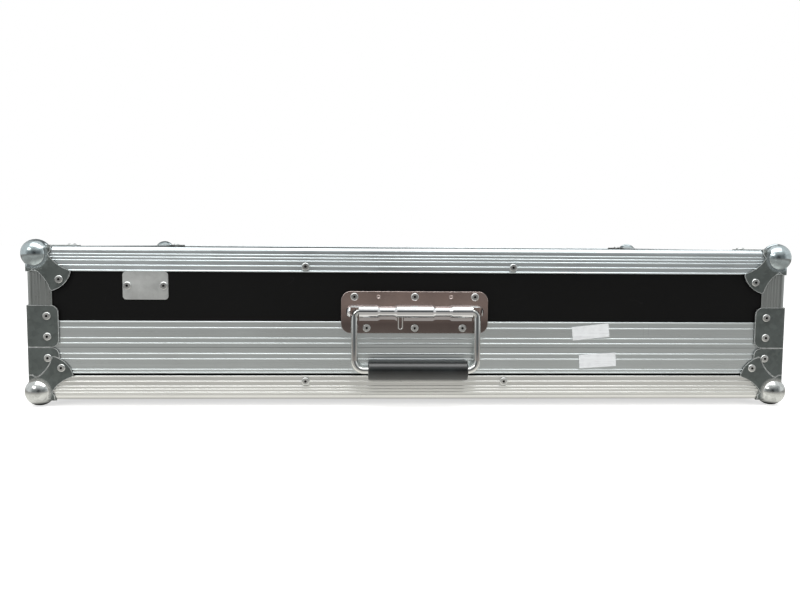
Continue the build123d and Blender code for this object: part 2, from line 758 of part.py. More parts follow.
# Rivets
def rivet(proud):
    """One pop rivet on a seat at the origin, head up, for a given height over the crests."""
    with BuildPart() as piece:
        with BuildSketch(Plane.XZ):
            with BuildLine():
                Polyline(
                    (RIVET_EYE_RADIUS, RIVET_HEAD - RIVET_EYE_DEPTH),
                    (RIVET_EYE_RADIUS, RIVET_HEAD),
                    (RIVET_CROWN_RADIUS, RIVET_HEAD),
                )
                ThreePointArc(
                    (RIVET_CROWN_RADIUS, RIVET_HEAD),
                    RIVET_SHOULDER,
                    (RIVET_HEAD_RADIUS, 0),
                )
                Polyline(
                    (RIVET_HEAD_RADIUS, 0),
                    (RIVET_SHANK_RADIUS, 0),
                    (RIVET_SHANK_RADIUS, -SHANK_END - proud),
                    (0, -SHANK_END - proud),
                    (0, RIVET_HEAD - RIVET_EYE_DEPTH),
                    (RIVET_EYE_RADIUS, RIVET_HEAD - RIVET_EYE_DEPTH),
                )
            make_face()
        revolve(axis=Axis.Z)
    return piece.part


def rivet_set(seats_by_side, cover):
    """All the rivets of one half of the case, trimmed where a web lies over them."""
    seats = [found for side_seats in seats_by_side.values() for found in side_seats]
    kinds = {proud: rivet(proud) for proud in {proud for place, proud in seats}}
    with BuildPart() as rivets:
        add([kinds[proud].moved(place.location) for place, proud in seats])
        if cover:
            add(at_four_corners(cover), mode=Mode.SUBTRACT)
    return rivets.part


with BuildPart() as head_cover:
    with BuildSketch(FRONT_WEB.offset(-2 * SHEET), END_WEB.offset(-2 * SHEET)):
        web_outline(COVER_GAP)
        with Locations((WEB_RIVET, WEB_RIVET)):
            Circle(RIVET_HEAD_RADIUS + COVER_GAP, mode=Mode.SUBTRACT)
    extrude(amount=2 * SHEET)
save(rivet_set(BASE_SEATS, head_cover.part.moved(lower_place)), "base_rivets")
save(rivet_set(LID_SEATS, None), "lid_rivets")

# Handle: plate, packer, spring saddle, bail, grip and spring
plate_middle = PLATE_BOTTOM + PLATE_HEIGHT / 2
with BuildPart() as handle_plate:
    with BuildSketch(Plane((HANDLE_X, -HALF_Y, plate_middle), x_dir=(1, 0, 0), z_dir=(0, -1, 0))):
        RectangleRounded(PLATE_WIDTH, PLATE_HEIGHT, PLATE_ROUND)
    extrude(amount=PLATE_THICK)
    fillet(handle_plate.faces().sort_by(Axis.Y)[0].outer_wire().edges(), PLATE_THICK / 3)
    drill(HANDLE_SEATS)
    dimple_z = PLATE_BOTTOM + PLATE_HEIGHT - PLATE_RIVET_EDGE
    for x in (-DIMPLE_X, DIMPLE_X):
        with Locations(Plane((HANDLE_X + x, PLATE_FACE_Y, dimple_z), z_dir=(0, -1, 0))):
            Cone(
                DIMPLE_FLOOR_RADIUS,
                DIMPLE_RADIUS,
                DIMPLE_DEPTH,
                align=(Align.CENTER, Align.CENTER, Align.MAX),
                mode=Mode.SUBTRACT,
            )
save(handle_plate.part, "handle_plate")

packer_low = LID_RIM_LIP + PLAY
packer_high = PLATE_BOTTOM + PLATE_HEIGHT
with BuildPart() as handle_packer:
    block(
        HANDLE_X - PLATE_WIDTH / 2 + PLATE_ROUND,
        HANDLE_X + PLATE_WIDTH / 2 - PLATE_ROUND,
        -HALF_Y,
        -HALF_Y + PANEL_OUTSIDE,
        packer_low,
        packer_high - PLAY,
    )
    drill(HANDLE_SEATS)
save(handle_packer.part, "handle_packer")

AXLE = Plane((HANDLE_X, HANDLE_AXIS_Y, HANDLE_AXIS_Z), x_dir=(1, 0, 0), z_dir=(0, -1, 0))


def saddle_turn(barrel, waist, half, round_end, mode):
    """Body of revolution about the bail axis: three barrels joined by two narrow waists."""
    with BuildSketch(AXLE) as turned:
        with BuildLine():
            Polyline((half, 0), (-half, 0), (-half, barrel - round_end))
            middle = round_end * (1 - sin(radians(45)))
            ThreePointArc(
                (-half, barrel - round_end),
                (-half + middle, barrel - middle),
                (-half + round_end, barrel),
            )
            Polyline(
                (-half + round_end, barrel),
                (-WAIST_TO - WAIST_TAPER, barrel),
                (-WAIST_TO, waist),
                (-WAIST_FROM, waist),
                (-WAIST_FROM + WAIST_TAPER, barrel),
                (WAIST_FROM - WAIST_TAPER, barrel),
                (WAIST_FROM, waist),
                (WAIST_TO, waist),
                (WAIST_TO + WAIST_TAPER, barrel),
                (half - round_end, barrel),
            )
            ThreePointArc(
                (half - round_end, barrel),
                (half - middle, barrel - middle),
                (half, barrel - round_end),
            )
            Line((half, barrel - round_end), (half, 0))
        make_face()
    axle = Axis((HANDLE_X, HANDLE_AXIS_Y, HANDLE_AXIS_Z), (1, 0, 0))
    revolve(turned.sketch, axis=axle, mode=mode)


def flange_outline(barrel, waist):
    """Outline of the saddle's foot on the plate, following the barrels and waists."""
    half = SADDLE_LENGTH / 2 - SADDLE_RADIUS
    steps = [
        (-half, barrel),
        (-WAIST_TO - WAIST_TAPER, barrel),
        (-WAIST_TO, waist),
        (-WAIST_FROM, waist),
        (-WAIST_FROM + WAIST_TAPER, barrel),
        (WAIST_FROM - WAIST_TAPER, barrel),
        (WAIST_FROM, waist),
        (WAIST_TO, waist),
        (WAIST_TO + WAIST_TAPER, barrel),
        (half, barrel),
    ]
    with BuildLine() as outline:
        Polyline(*[(x, -drop) for x, drop in steps], (half, 0), (-half, 0), close=True)
    make_face(outline.edges())


leg = BAIL_SPREAD / 2
wire = BAIL_WIRE / 2
with BuildPart() as handle_saddle:
    saddle_turn(SADDLE_RADIUS, SADDLE_WAIST_RADIUS, SADDLE_LENGTH / 2, SADDLE_RADIUS - 1, Mode.ADD)
    foot = AXLE.offset(-AXIS_OFFSET)
    with BuildSketch(foot):
        flange_outline(SADDLE_RADIUS + SADDLE_FLANGE, SADDLE_WAIST_RADIUS + SADDLE_FLANGE)
    extrude(amount=SADDLE_FLANGE_THICK)
    half_bore = SADDLE_LENGTH / 2 - SADDLE_END_WALL
    saddle_turn(SADDLE_BORE, SADDLE_WAIST_BORE, half_bore, SADDLE_BORE - 1, Mode.SUBTRACT)
    block(
        HANDLE_X - SADDLE_LENGTH,
        HANDLE_X + SADDLE_LENGTH,
        PLATE_FACE_Y,
        PLATE_FACE_Y + 2 * SADDLE_RADIUS,
        HANDLE_AXIS_Z - 2 * SADDLE_RADIUS,
        HANDLE_AXIS_Z + 2 * SADDLE_RADIUS,
        mode=Mode.SUBTRACT,
    )
    for x_sign in (-1, 1):
        block(
            BAIL_X + x_sign * (leg - wire - 2 * SLOT_CLEAR),
            BAIL_X + x_sign * (leg + wire + SLOT_CLEAR),
            PLATE_FACE_Y,
            HANDLE_AXIS_Y - 3 * SADDLE_RADIUS,
            HANDLE_AXIS_Z - 3 * SADDLE_RADIUS,
            HANDLE_AXIS_Z + wire + 2 * SLOT_CLEAR,
            mode=Mode.SUBTRACT,
        )
    block(
        HANDLE_X + SPRING_TAIL_X - SPRING_TAIL_WIDTH / 2 - SPRING_WIRE,
        HANDLE_X + SPRING_TAIL_X + SPRING_TAIL_WIDTH / 2 + SPRING_WIRE,
        PLATE_FACE_Y,
        HANDLE_AXIS_Y + AXIS_OFFSET - 2 * SPRING_WIRE,
        HANDLE_AXIS_Z - 3 * SADDLE_RADIUS,
        HANDLE_AXIS_Z - SPRING_TAIL_START,
        mode=Mode.SUBTRACT,
    )
save(handle_saddle.part, "handle_saddle")

lean = radians(BAIL_LEAN)
BAIL = Plane((BAIL_X, HANDLE_AXIS_Y, HANDLE_AXIS_Z), x_dir=(1, 0, 0), z_dir=(0, -cos(lean), sin(lean)))
with BuildPart() as handle_bail:
    with BuildLine(BAIL) as bail_path:
        FilletPolyline(
            (-ROD_GAP / 2, 0),
            (-leg, 0),
            (-leg, -BAIL_REACH),
            (leg, -BAIL_REACH),
            (leg, 0),
            (ROD_GAP / 2, 0),
            radius=(BAIL_TOP_BEND, BAIL_LOW_BEND, BAIL_LOW_BEND, BAIL_TOP_BEND),
        )
    with BuildSketch(Plane(bail_path.line @ 0, z_dir=bail_path.line % 0)):
        Circle(wire)
    sweep()
save(handle_bail.part, "handle_bail")

grip_centre = BAIL.from_local_coords((GRIP_SHIFT, -BAIL_REACH, 0))
with BuildPart() as handle_grip:
    with Locations(Plane(grip_centre, z_dir=(1, 0, 0))):
        Cylinder(GRIP_RADIUS, GRIP_LENGTH)
        rims = handle_grip.edges().filter_by(GeomType.CIRCLE)
        fillet(rims, GRIP_EDGE)
        Cylinder(wire + GRIP_FIT, GRIP_LENGTH, mode=Mode.SUBTRACT)
save(handle_grip.part, "handle_grip")

tail_y = PLATE_FACE_Y - SPRING_WIRE / 2 - PLAY
tail_half = SPRING_TAIL_WIDTH / 2
with BuildPart() as handle_spring:
    with Locations(Plane((HANDLE_X, HANDLE_AXIS_Y, HANDLE_AXIS_Z), z_dir=(1, 0, 0))):
        Cylinder(SPRING_OUTER, SPRING_LENGTH)
        Cylinder(SPRING_INNER, SPRING_LENGTH, mode=Mode.SUBTRACT)
    tail_plane = Plane((HANDLE_X + SPRING_TAIL_X, tail_y, HANDLE_AXIS_Z), x_dir=(1, 0, 0), z_dir=(0, -1, 0))
    with BuildLine(tail_plane) as tail_path:
        FilletPolyline(
            (-tail_half, -SPRING_TAIL_START),
            (-tail_half, -SPRING_TAIL_DROP),
            (tail_half, -SPRING_TAIL_DROP),
            (tail_half, -SPRING_TAIL_START),
            radius=SPRING_TAIL_BEND,
        )
    with BuildSketch(Plane(tail_path.line @ 0, z_dir=tail_path.line % 0)):
        Circle(SPRING_WIRE / 2)
    sweep()
save(handle_spring.part, "handle_spring")

# Blank plate and labels
badge_plane = Plane(
    (BADGE_X, -HALF_Y + PANEL_OUTSIDE, BADGE_Z), x_dir=(1, 0, 0), z_dir=(0, -1, 0)
)
with BuildPart() as badge_plate:
    with BuildSketch(badge_plane):
        RectangleRounded(BADGE_WIDTH, BADGE_HEIGHT, BADGE_ROUND)
    extrude(amount=BADGE_THICK)
    drill(BADGE_SEATS)
save(badge_plate.part, "badge_plate")


def label(x, z, tilt):
    """Blank paper label stuck over the beads of a rim."""
    with BuildPart() as piece:
        with BuildSketch(Plane((x, -HALF_Y, z), x_dir=(1, 0, 0), z_dir=(0, -1, 0))):
            with Locations(Location((0, 0, 0), (0, 0, tilt))):
                RectangleRounded(LABEL_LENGTH, LABEL_WIDTH, LABEL_ROUND)
        extrude(amount=LABEL_THICK)
    return piece.part


save(label(LID_LABEL_X, PARTING + LID_LABEL_UP, LID_LABEL_TILT), "lid_label")
save(label(BASE_LABEL_X, PARTING - BASE_LABEL_DOWN, BASE_LABEL_TILT), "base_label")

# Hinges
segment = HINGE_LENGTH / KNUCKLE_COUNT


def hinge_leaf(x_centre, direction, first):
    """One hinge leaf with its knuckles; direction is +1 up into the lid, -1 down to the base."""
    own = [x_centre - HINGE_LENGTH / 2 + segment * (i + 0.5) for i in range(first, KNUCKLE_COUNT, 2)]
    low, high = sorted((PARTING + direction * HINGE_LEAF_FROM, PARTING + direction * HINGE_LEAF_TO))
    width = segment - KNUCKLE_GAP
    with BuildPart() as piece:
        half = HINGE_LENGTH / 2
        block(x_centre - half, x_centre + half, HALF_Y, HALF_Y + HINGE_LEAF, low, high)
        tab_low, tab_high = sorted((PARTING, PARTING + direction * (HINGE_LEAF_FROM + SKIN)))
        for x in own:
            with Locations(Plane((x, HINGE_Y, PARTING), z_dir=(1, 0, 0))):
                Cylinder(KNUCKLE_RADIUS, width)
            inner = HINGE_Y - KNUCKLE_RADIUS
            block(x - width / 2, x + width / 2, inner, HALF_Y + HINGE_LEAF, tab_low, tab_high)
        with Locations(Plane((x_centre, HINGE_Y, PARTING), z_dir=(1, 0, 0))):
            Cylinder(HINGE_PIN_RADIUS + HINGE_PIN_FIT, 2 * HINGE_LENGTH, mode=Mode.SUBTRACT)
        drill(hinge_seats(direction * HINGE_RIVET_UP)["rear"])
    return piece.part


with BuildPart() as base_leaves:
    for x_sign in (-1, 1):
        add(hinge_leaf(x_sign * HINGE_X, -1, 0))
save(base_leaves.part, "hinge_base_leaves")

with BuildPart() as lid_leaves:
    for x_sign in (-1, 1):
        add(hinge_leaf(x_sign * HINGE_X, 1, 1))
save(lid_leaves.part, "hinge_lid_leaves")

with BuildPart() as hinge_pins:
    for x_sign in (-1, 1):
        with Locations(Plane((x_sign * HINGE_X, HINGE_Y, PARTING), z_dir=(1, 0, 0))):
            Cylinder(HINGE_PIN_RADIUS, HINGE_LENGTH)
save(hinge_pins.part, "hinge_pins")


# Latches, drawn in the left end and mirrored to the right
def end_plane(depth):
    """Upright plane in the left end: x is towards the rear, y up from the parting, normal inwards."""
    return Plane((-HALF_X + depth, LATCH_Y, PARTING), x_dir=(0, 1, 0), z_dir=(1, 0, 0))


def slab(depth_from, depth_to, mode=Mode.ADD):
    """Gives the pending sketch its thickness."""
    extrude(amount=depth_to - depth_from, mode=mode)


flange_face = PANEL_OUTSIDE - DISH_FLANGE
gap = PARTING_GAP / 2
latch_seats = {
    1: dish_seats(DISH_RIVET_UP)["left"],
    -1: dish_seats(DISH_RIVET_DOWN)["left"],
}


def dish(direction, flange_reach, pan_reach):
    """Pressed latch dish with an open side at the parting; direction is +1 up, -1 down."""
    near = direction * gap

    def outline(half, reach, radius):
        bar(-half, half, near, direction * reach)
        far = vertices().group_by(Axis.Y)[-1 if direction > 0 else 0]
        fillet(far, radius)

    with BuildPart() as piece:
        with BuildSketch(end_plane(flange_face)):
            outline(DISH_WIDTH / 2, flange_reach, DISH_ROUND)
        slab(flange_face, PANEL_OUTSIDE)
        with BuildSketch(end_plane(flange_face)):
            outline(PAN_WIDTH / 2 + PAN_WALL, pan_reach + PAN_WALL, PAN_ROUND + PAN_WALL)
        slab(flange_face, PAN_DEPTH + PAN_WALL)
        with BuildSketch(end_plane(flange_face)):
            outline(PAN_WIDTH / 2, pan_reach, PAN_ROUND)
        slab(flange_face, PAN_DEPTH, mode=Mode.SUBTRACT)
        drill(latch_seats[direction])
    return piece.part


neck_start = ROTOR_HEAD_FACE + ROTOR_HEAD_THICK
housing_face = neck_start + HOUSING_CLEAR
neck_end = housing_face + HOUSING_SKIN + HOUSING_CLEAR
rotor_back = neck_end + ROTOR_FLANGE_THICK
hook_face = rotor_back + HOOK_FACE_CLEAR
hook_back = hook_face + HOOK_THICK
strike_face = hook_back + HOOK_SHIFT + HOOK_FACE_CLEAR
foot_back = strike_face - HOOK_FACE_CLEAR
hook_rise = 2 * CRANK_RADIUS
foot_top = STRIKE_BAR_BOTTOM - HOOK_FACE_CLEAR - hook_rise

with BuildPart() as latch_dish:
    add(dish(1, DISH_TOP, PAN_TOP))
    with BuildSketch(end_plane(housing_face)):
        bar(-HOUSING_HALF, HOUSING_HALF, ROTOR_UP - HOUSING_HALF, ROTOR_UP + HOUSING_HALF)
    slab(housing_face, PAN_DEPTH + PAN_WALL / 2)
    with BuildSketch(end_plane(housing_face + HOUSING_SKIN)):
        guide = HOOK_HALF + HOOK_GUIDE_CLEAR
        bar(-guide, guide, ROTOR_UP - HOUSING_HALF, ROTOR_UP + HOUSING_HALF)
    slab(housing_face + HOUSING_SKIN, PAN_DEPTH, mode=Mode.SUBTRACT)
    with BuildSketch(end_plane(housing_face)):
        with Locations((0, ROTOR_UP)):
            Circle(ROTOR_NECK_RADIUS + ROTOR_NECK_FIT)
    slab(housing_face, housing_face + 2 * HOUSING_SKIN, mode=Mode.SUBTRACT)

with BuildPart() as latch_strike:
    add(dish(-1, DISH_BOTTOM, PAN_BOTTOM))
    with BuildSketch(end_plane(strike_face)):
        bar(-STRIKE_HALF, STRIKE_HALF, STRIKE_BAR_BOTTOM, STRIKE_BAR_TOP)
    slab(strike_face, PAN_DEPTH + PAN_WALL / 2)

with BuildPart() as latch_rotor:
    with BuildSketch(end_plane(ROTOR_HEAD_FACE)):
        with Locations((0, ROTOR_UP)):
            Circle(ROTOR_HEAD_RADIUS)
    slab(ROTOR_HEAD_FACE, neck_start)
    with BuildSketch(end_plane(ROTOR_HEAD_FACE)):
        with Locations((0, ROTOR_UP)):
            Circle(ROTOR_NECK_RADIUS)
    slab(ROTOR_HEAD_FACE, rotor_back)
    with BuildSketch(end_plane(neck_end)):
        with Locations((0, ROTOR_UP)):
            Circle(ROTOR_FLANGE_RADIUS)
    slab(neck_end, rotor_back)
    with BuildSketch(end_plane(rotor_back)):
        with Locations((0, ROTOR_UP - CRANK_RADIUS)):
            Circle(CRANK_PIN_RADIUS)
    slab(rotor_back, strike_face - HOOK_FACE_CLEAR)
    lug_from = WING_BARREL_HALF + LUG_CLEAR
    for y_sign in (-1, 1):
        low, high = sorted((y_sign * lug_from, y_sign * (lug_from + LUG_WIDTH)))
        side_reach = WING_AXIS_SIDE + LUG_RADIUS
        with BuildSketch(end_plane(WING_AXIS_DEPTH - LUG_RADIUS)):
            bar(-side_reach, side_reach, ROTOR_UP + low, ROTOR_UP + high)
        slab(WING_AXIS_DEPTH - LUG_RADIUS, neck_start)
    for x_sign in (-1, 1):
        place = (-HALF_X + WING_AXIS_DEPTH, LATCH_Y + x_sign * WING_AXIS_SIDE, PARTING + ROTOR_UP)
        with Locations(place):
            Cylinder(WING_PIN_RADIUS, 2 * lug_from + LUG_WIDTH)

with BuildPart() as latch_hook:
    with BuildSketch(end_plane(hook_face)):
        bar(-HOOK_HALF, HOOK_HALF, foot_top - HOOK_FOOT, HOOK_TOP)
        slot_height = 2 * (CRANK_PIN_RADIUS + CRANK_CLEAR)
        slot_width = 2 * (CRANK_RADIUS + CRANK_PIN_RADIUS + CRANK_CLEAR)
        with Locations((0, ROTOR_UP - CRANK_RADIUS)):
            SlotOverall(slot_width, slot_height, mode=Mode.SUBTRACT)
    slab(hook_face, hook_back)
    with BuildSketch(end_plane(hook_face)):
        bar(-HOOK_HALF, HOOK_HALF, foot_top - HOOK_FOOT, foot_top)
    slab(hook_face, foot_back)


def wing(direction):
    """Half-round latch wing on its barrel; direction is +1 towards the rear, -1 to the front."""
    beside_lug = WING_AXIS_SIDE + LUG_RADIUS * sqrt(2) + LUG_CLEAR
    reach = 2 * WING_RADIUS
    with BuildPart() as piece:
        with BuildSketch(end_plane(WING_FACE)):
            with Locations((0, ROTOR_UP)):
                Circle(WING_RADIUS)
            bar(-direction * reach, direction * WING_AXIS_SIDE, 0, 2 * ROTOR_UP, mode=Mode.SUBTRACT)
            for low in (ROTOR_UP + WING_BARREL_HALF, ROTOR_UP - WING_BARREL_HALF - reach):
                bar(0, direction * beside_lug, low, low + reach, mode=Mode.SUBTRACT)
            with Locations((direction * (WING_RADIUS + WING_NOTCH_RADIUS / 2), ROTOR_UP)):
                Circle(WING_NOTCH_RADIUS, mode=Mode.SUBTRACT)
        slab(WING_FACE, WING_FACE + WING_THICK)
        hinge_line = (
            -HALF_X + WING_AXIS_DEPTH,
            LATCH_Y + direction * WING_AXIS_SIDE,
            PARTING + ROTOR_UP,
        )
        with Locations(hinge_line):
            Cylinder(WING_BARREL_RADIUS, 2 * WING_BARREL_HALF)
            Cylinder(WING_PIN_RADIUS + WING_PIN_FIT, 4 * WING_BARREL_HALF, mode=Mode.SUBTRACT)
    return piece.part


latch_pieces = {
    "dish": latch_dish.part,
    "strike": latch_strike.part,
    "rotor": latch_rotor.part,
    "hook": latch_hook.part,
    "wing_front": wing(-1),
    "wing_rear": wing(1),
}
for name, piece in latch_pieces.items():
    save(mirror(piece, about=Plane.YZ), f"latch_{name}_right")
    save(piece, f"latch_{name}_left")


# Foam lining: strips round the walls and a pad on the floor and under the top
foam_face = INNER_BACK + FOAM_CLEAR
pocket_depth = PAN_DEPTH + PAN_WALL + FOAM_POCKET
pocket_half = PAN_WIDTH / 2 + PAN_WALL + FOAM_POCKET


def foam_lining(strip_low, strip_high, pad_low, pad_high, pocket_low, pocket_high):
    """Strips round the walls, cut in lengths at the latch pans, and the pad that lies between them."""
    inside = foam_face + FOAM_STRIP
    pad_gap = inside + FOAM_CLEAR
    end_half = HALF_Y - pad_gap
    pan_front, pan_rear = LATCH_Y - pocket_half, LATCH_Y + pocket_half
    infill = (pan_front + FOAM_CLEAR, pan_rear - FOAM_CLEAR)
    with BuildPart() as piece:
        for y_sign in (-1, 1):
            near, far = y_sign * (HALF_Y - foam_face), y_sign * (HALF_Y - inside)
            block(foam_face - HALF_X, HALF_X - foam_face, near, far, strip_low, strip_high)
        for x_sign in (-1, 1):
            near, far = x_sign * (HALF_X - foam_face), x_sign * (HALF_X - inside)
            behind_pan = x_sign * (HALF_X - pocket_depth)
            block(near, far, -end_half, pan_front, strip_low, strip_high)
            block(near, far, pan_rear, end_half, strip_low, strip_high)
            thin_low, thin_high = max(strip_low, pocket_low), min(strip_high, pocket_high)
            block(behind_pan, far, *infill, thin_low, thin_high)
            if pocket_low > strip_low:
                block(near, far, *infill, strip_low, pocket_low - FOAM_CLEAR)
            if pocket_high < strip_high:
                block(near, far, *infill, pocket_high + FOAM_CLEAR, strip_high)
        block(pad_gap - HALF_X, HALF_X - pad_gap, -end_half, end_half, pad_low, pad_high)
    return piece.part


base_lining = foam_lining(
    BOTTOM + INNER_BACK + FOAM_CLEAR,
    RIM_TOP - FOAM_BELOW_RIM,
    PANEL + FOAM_CLEAR,
    PANEL + FOAM_CLEAR + FOAM_PAD,
    PARTING - PAN_BOTTOM - PAN_WALL - FOAM_POCKET,
    PARTING,
)
save(base_lining, "base_foam_lining")

lid_lining = foam_lining(
    RIM_BOTTOM + FOAM_BELOW_RIM,
    TOP - INNER_BACK - FOAM_CLEAR,
    TOP - PANEL_INSIDE - FOAM_CLEAR - FOAM_LID_PAD,
    TOP - PANEL_INSIDE - FOAM_CLEAR,
    PARTING,
    PARTING + PAN_TOP + PAN_WALL + FOAM_POCKET,
)
save(lid_lining, "lid_foam_lining")
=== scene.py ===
import math

import bmesh
import bpy
from mathutils import Matrix, Vector


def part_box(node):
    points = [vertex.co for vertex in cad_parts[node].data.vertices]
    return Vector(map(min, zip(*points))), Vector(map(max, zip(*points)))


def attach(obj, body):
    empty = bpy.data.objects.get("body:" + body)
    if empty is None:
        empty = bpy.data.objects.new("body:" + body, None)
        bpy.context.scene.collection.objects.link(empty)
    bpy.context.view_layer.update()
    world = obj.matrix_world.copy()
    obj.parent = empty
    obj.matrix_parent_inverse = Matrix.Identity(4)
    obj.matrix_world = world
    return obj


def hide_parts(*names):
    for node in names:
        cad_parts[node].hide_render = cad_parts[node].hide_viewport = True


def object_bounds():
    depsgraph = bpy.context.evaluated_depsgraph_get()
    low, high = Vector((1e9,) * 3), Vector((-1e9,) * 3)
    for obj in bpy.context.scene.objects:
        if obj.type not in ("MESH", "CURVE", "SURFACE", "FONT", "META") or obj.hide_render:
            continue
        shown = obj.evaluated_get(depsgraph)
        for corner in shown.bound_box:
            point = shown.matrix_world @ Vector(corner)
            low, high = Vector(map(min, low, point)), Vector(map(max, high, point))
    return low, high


# A flight case for a mixing console, closed, on a white studio floor, seen from its handle side.
# Metres; +X to the right, +Y to the hinges, +Z up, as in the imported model.
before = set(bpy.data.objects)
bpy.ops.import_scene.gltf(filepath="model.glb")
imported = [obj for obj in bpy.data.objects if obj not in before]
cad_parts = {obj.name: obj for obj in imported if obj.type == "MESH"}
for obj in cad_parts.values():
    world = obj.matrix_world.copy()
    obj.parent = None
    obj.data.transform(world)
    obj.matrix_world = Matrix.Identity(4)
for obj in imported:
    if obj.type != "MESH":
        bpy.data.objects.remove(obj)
cad_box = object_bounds()
bpy.ops.object.select_all(action="DESELECT")
scene = bpy.context.scene

# Camera.
# A still camera 0.8 m in front of the case, level with the lid's top and tipped down by four degrees.
# Its place, heading, tilt and roll come from fitting the case's corners and rows to the photograph.
CAMERA_AT = Vector((-0.04484, -1.08141, 0.17646))
CAMERA_HEADING = math.radians(-2.0843)
CAMERA_TILT = math.radians(90 - 4.395)
CAMERA_ROLL = math.radians(0.3818)
CAMERA_LENS = 32.4
CAMERA_SENSOR = 36.0
CAMERA_NEAREST = 0.05
CAMERA_FURTHEST = 200.0

bpy.ops.object.camera_add()
camera = bpy.context.object
camera.name = "camera"
camera.data.sensor_width = CAMERA_SENSOR
camera.data.lens = CAMERA_LENS
camera.data.clip_start = CAMERA_NEAREST
camera.data.clip_end = CAMERA_FURTHEST
turn = Matrix.Rotation(CAMERA_HEADING, 4, "Z") @ Matrix.Rotation(CAMERA_TILT, 4, "X")
camera.matrix_world = Matrix.Translation(CAMERA_AT) @ turn @ Matrix.Rotation(CAMERA_ROLL, 4, "Z")
scene.camera = camera

# Studio floor and white surround.
# White card floor that keeps the case's soft shadow, and a white world behind it.
# The camera and the metal both see them white; as a light the world is softer.
FLOOR_Z = cad_box[0].z
FLOOR_REACH = 30.0
FLOOR_BELOW = 0.0002
FLOOR_COLOUR = (0.80, 0.80, 0.80, 1)
FLOOR_LIFT = 0.62
WORLD_COLOUR = (1, 1, 1, 1)
WORLD_LIGHT = 0.55


def feed(tree, socket, value):
    """Gives an input a value of its own, or links it to another node's socket."""
    if isinstance(value, bpy.types.NodeSocket):
        tree.links.new(value, socket)
    else:
        socket.default_value = value


def put(tree, kind, inputs=None, **settings):
    """Adds a shader node, with its settings and its inputs, which are values or other nodes' sockets."""
    node = tree.nodes.new("ShaderNode" + kind)
    for name, value in settings.items():
        setattr(node, name, value)
    for socket, value in (inputs or {}).items():
        feed(tree, node.inputs[socket], value)
    return node


def reckon(tree, operation, *values):
    """One operation on one or two values."""
    return put(tree, "Math", dict(enumerate(values)), operation=operation).outputs[0]


def seen_straight(tree):
    """One for a ray from the camera, off metal or through glass, and none for light that is gathered."""
    seen = put(tree, "LightPath").outputs
    straight = reckon(tree, "MAXIMUM", seen["Is Camera Ray"], seen["Is Glossy Ray"])
    return reckon(tree, "MAXIMUM", straight, seen["Is Transmission Ray"])


def empty_material(name):
    """A material with nothing in it but its output."""
    material = bpy.data.materials.new(name)
    material.use_nodes = True
    material.node_tree.nodes.clear()
    output = put(material.node_tree, "OutputMaterial")
    return material, material.node_tree, output.inputs["Surface"]


bpy.ops.mesh.primitive_plane_add(size=2 * FLOOR_REACH, location=(0, 0, FLOOR_Z - FLOOR_BELOW))
floor = bpy.context.object
floor.name = "studio_floor"
floor_material, tree, surface = empty_material("studio floor")
card = put(tree, "BsdfDiffuse", {"Color": FLOOR_COLOUR})
glow = put(tree, "Emission", {"Strength": reckon(tree, "MULTIPLY", seen_straight(tree), FLOOR_LIFT)})
both = put(tree, "AddShader", {0: card.outputs[0], 1: glow.outputs[0]})
tree.links.new(both.outputs[0], surface)
floor.data.materials.append(floor_material)

world = bpy.data.worlds.new("studio")
scene.world = world
world.use_nodes = True
tree = world.node_tree
tree.nodes.clear()
level = put(tree, "MapRange", {"Value": seen_straight(tree), "To Min": WORLD_LIGHT, "To Max": 1.0})
sky = put(tree, "Background", {"Color": WORLD_COLOUR, "Strength": level.outputs["Result"]})
tree.links.new(sky.outputs[0], put(tree, "OutputWorld").inputs["Surface"])
scene.view_settings.view_transform = "Standard"

# Softboxes.
# A long one overhead that runs with the case and draws the bright lines on its ribs,
# and two weaker ones, from the front left and from behind.
# Each has a name, a place, an aim, a size, watts and a colour.
SOFTBOXES = (
    ("overhead", (-0.05, -0.75, 1.75), (0.0, -0.20, 0.10), (2.4, 1.0), 19.0, (1.0, 1.0, 1.0)),
    ("front left", (-1.9, -2.2, 1.5), (0.0, 0.0, 0.08), (1.2, 1.2), 14.0, (1.0, 0.99, 0.97)),
    ("behind", (0.9, 2.0, 1.7), (0.0, 0.1, 0.08), (1.6, 1.0), 10.0, (0.97, 0.99, 1.0)),
)
for name, place, aim, size, watts, colour in SOFTBOXES:
    bpy.ops.object.light_add(type="AREA", location=place)
    lamp = bpy.context.object
    lamp.name = name
    lamp.data.shape = "RECTANGLE"
    lamp.data.size, lamp.data.size_y = size
    lamp.data.energy = watts
    lamp.data.color = colour
    lamp.rotation_mode = "QUATERNION"
    lamp.rotation_quaternion = (Vector(aim) - Vector(place)).to_track_quat("-Z", "Y")

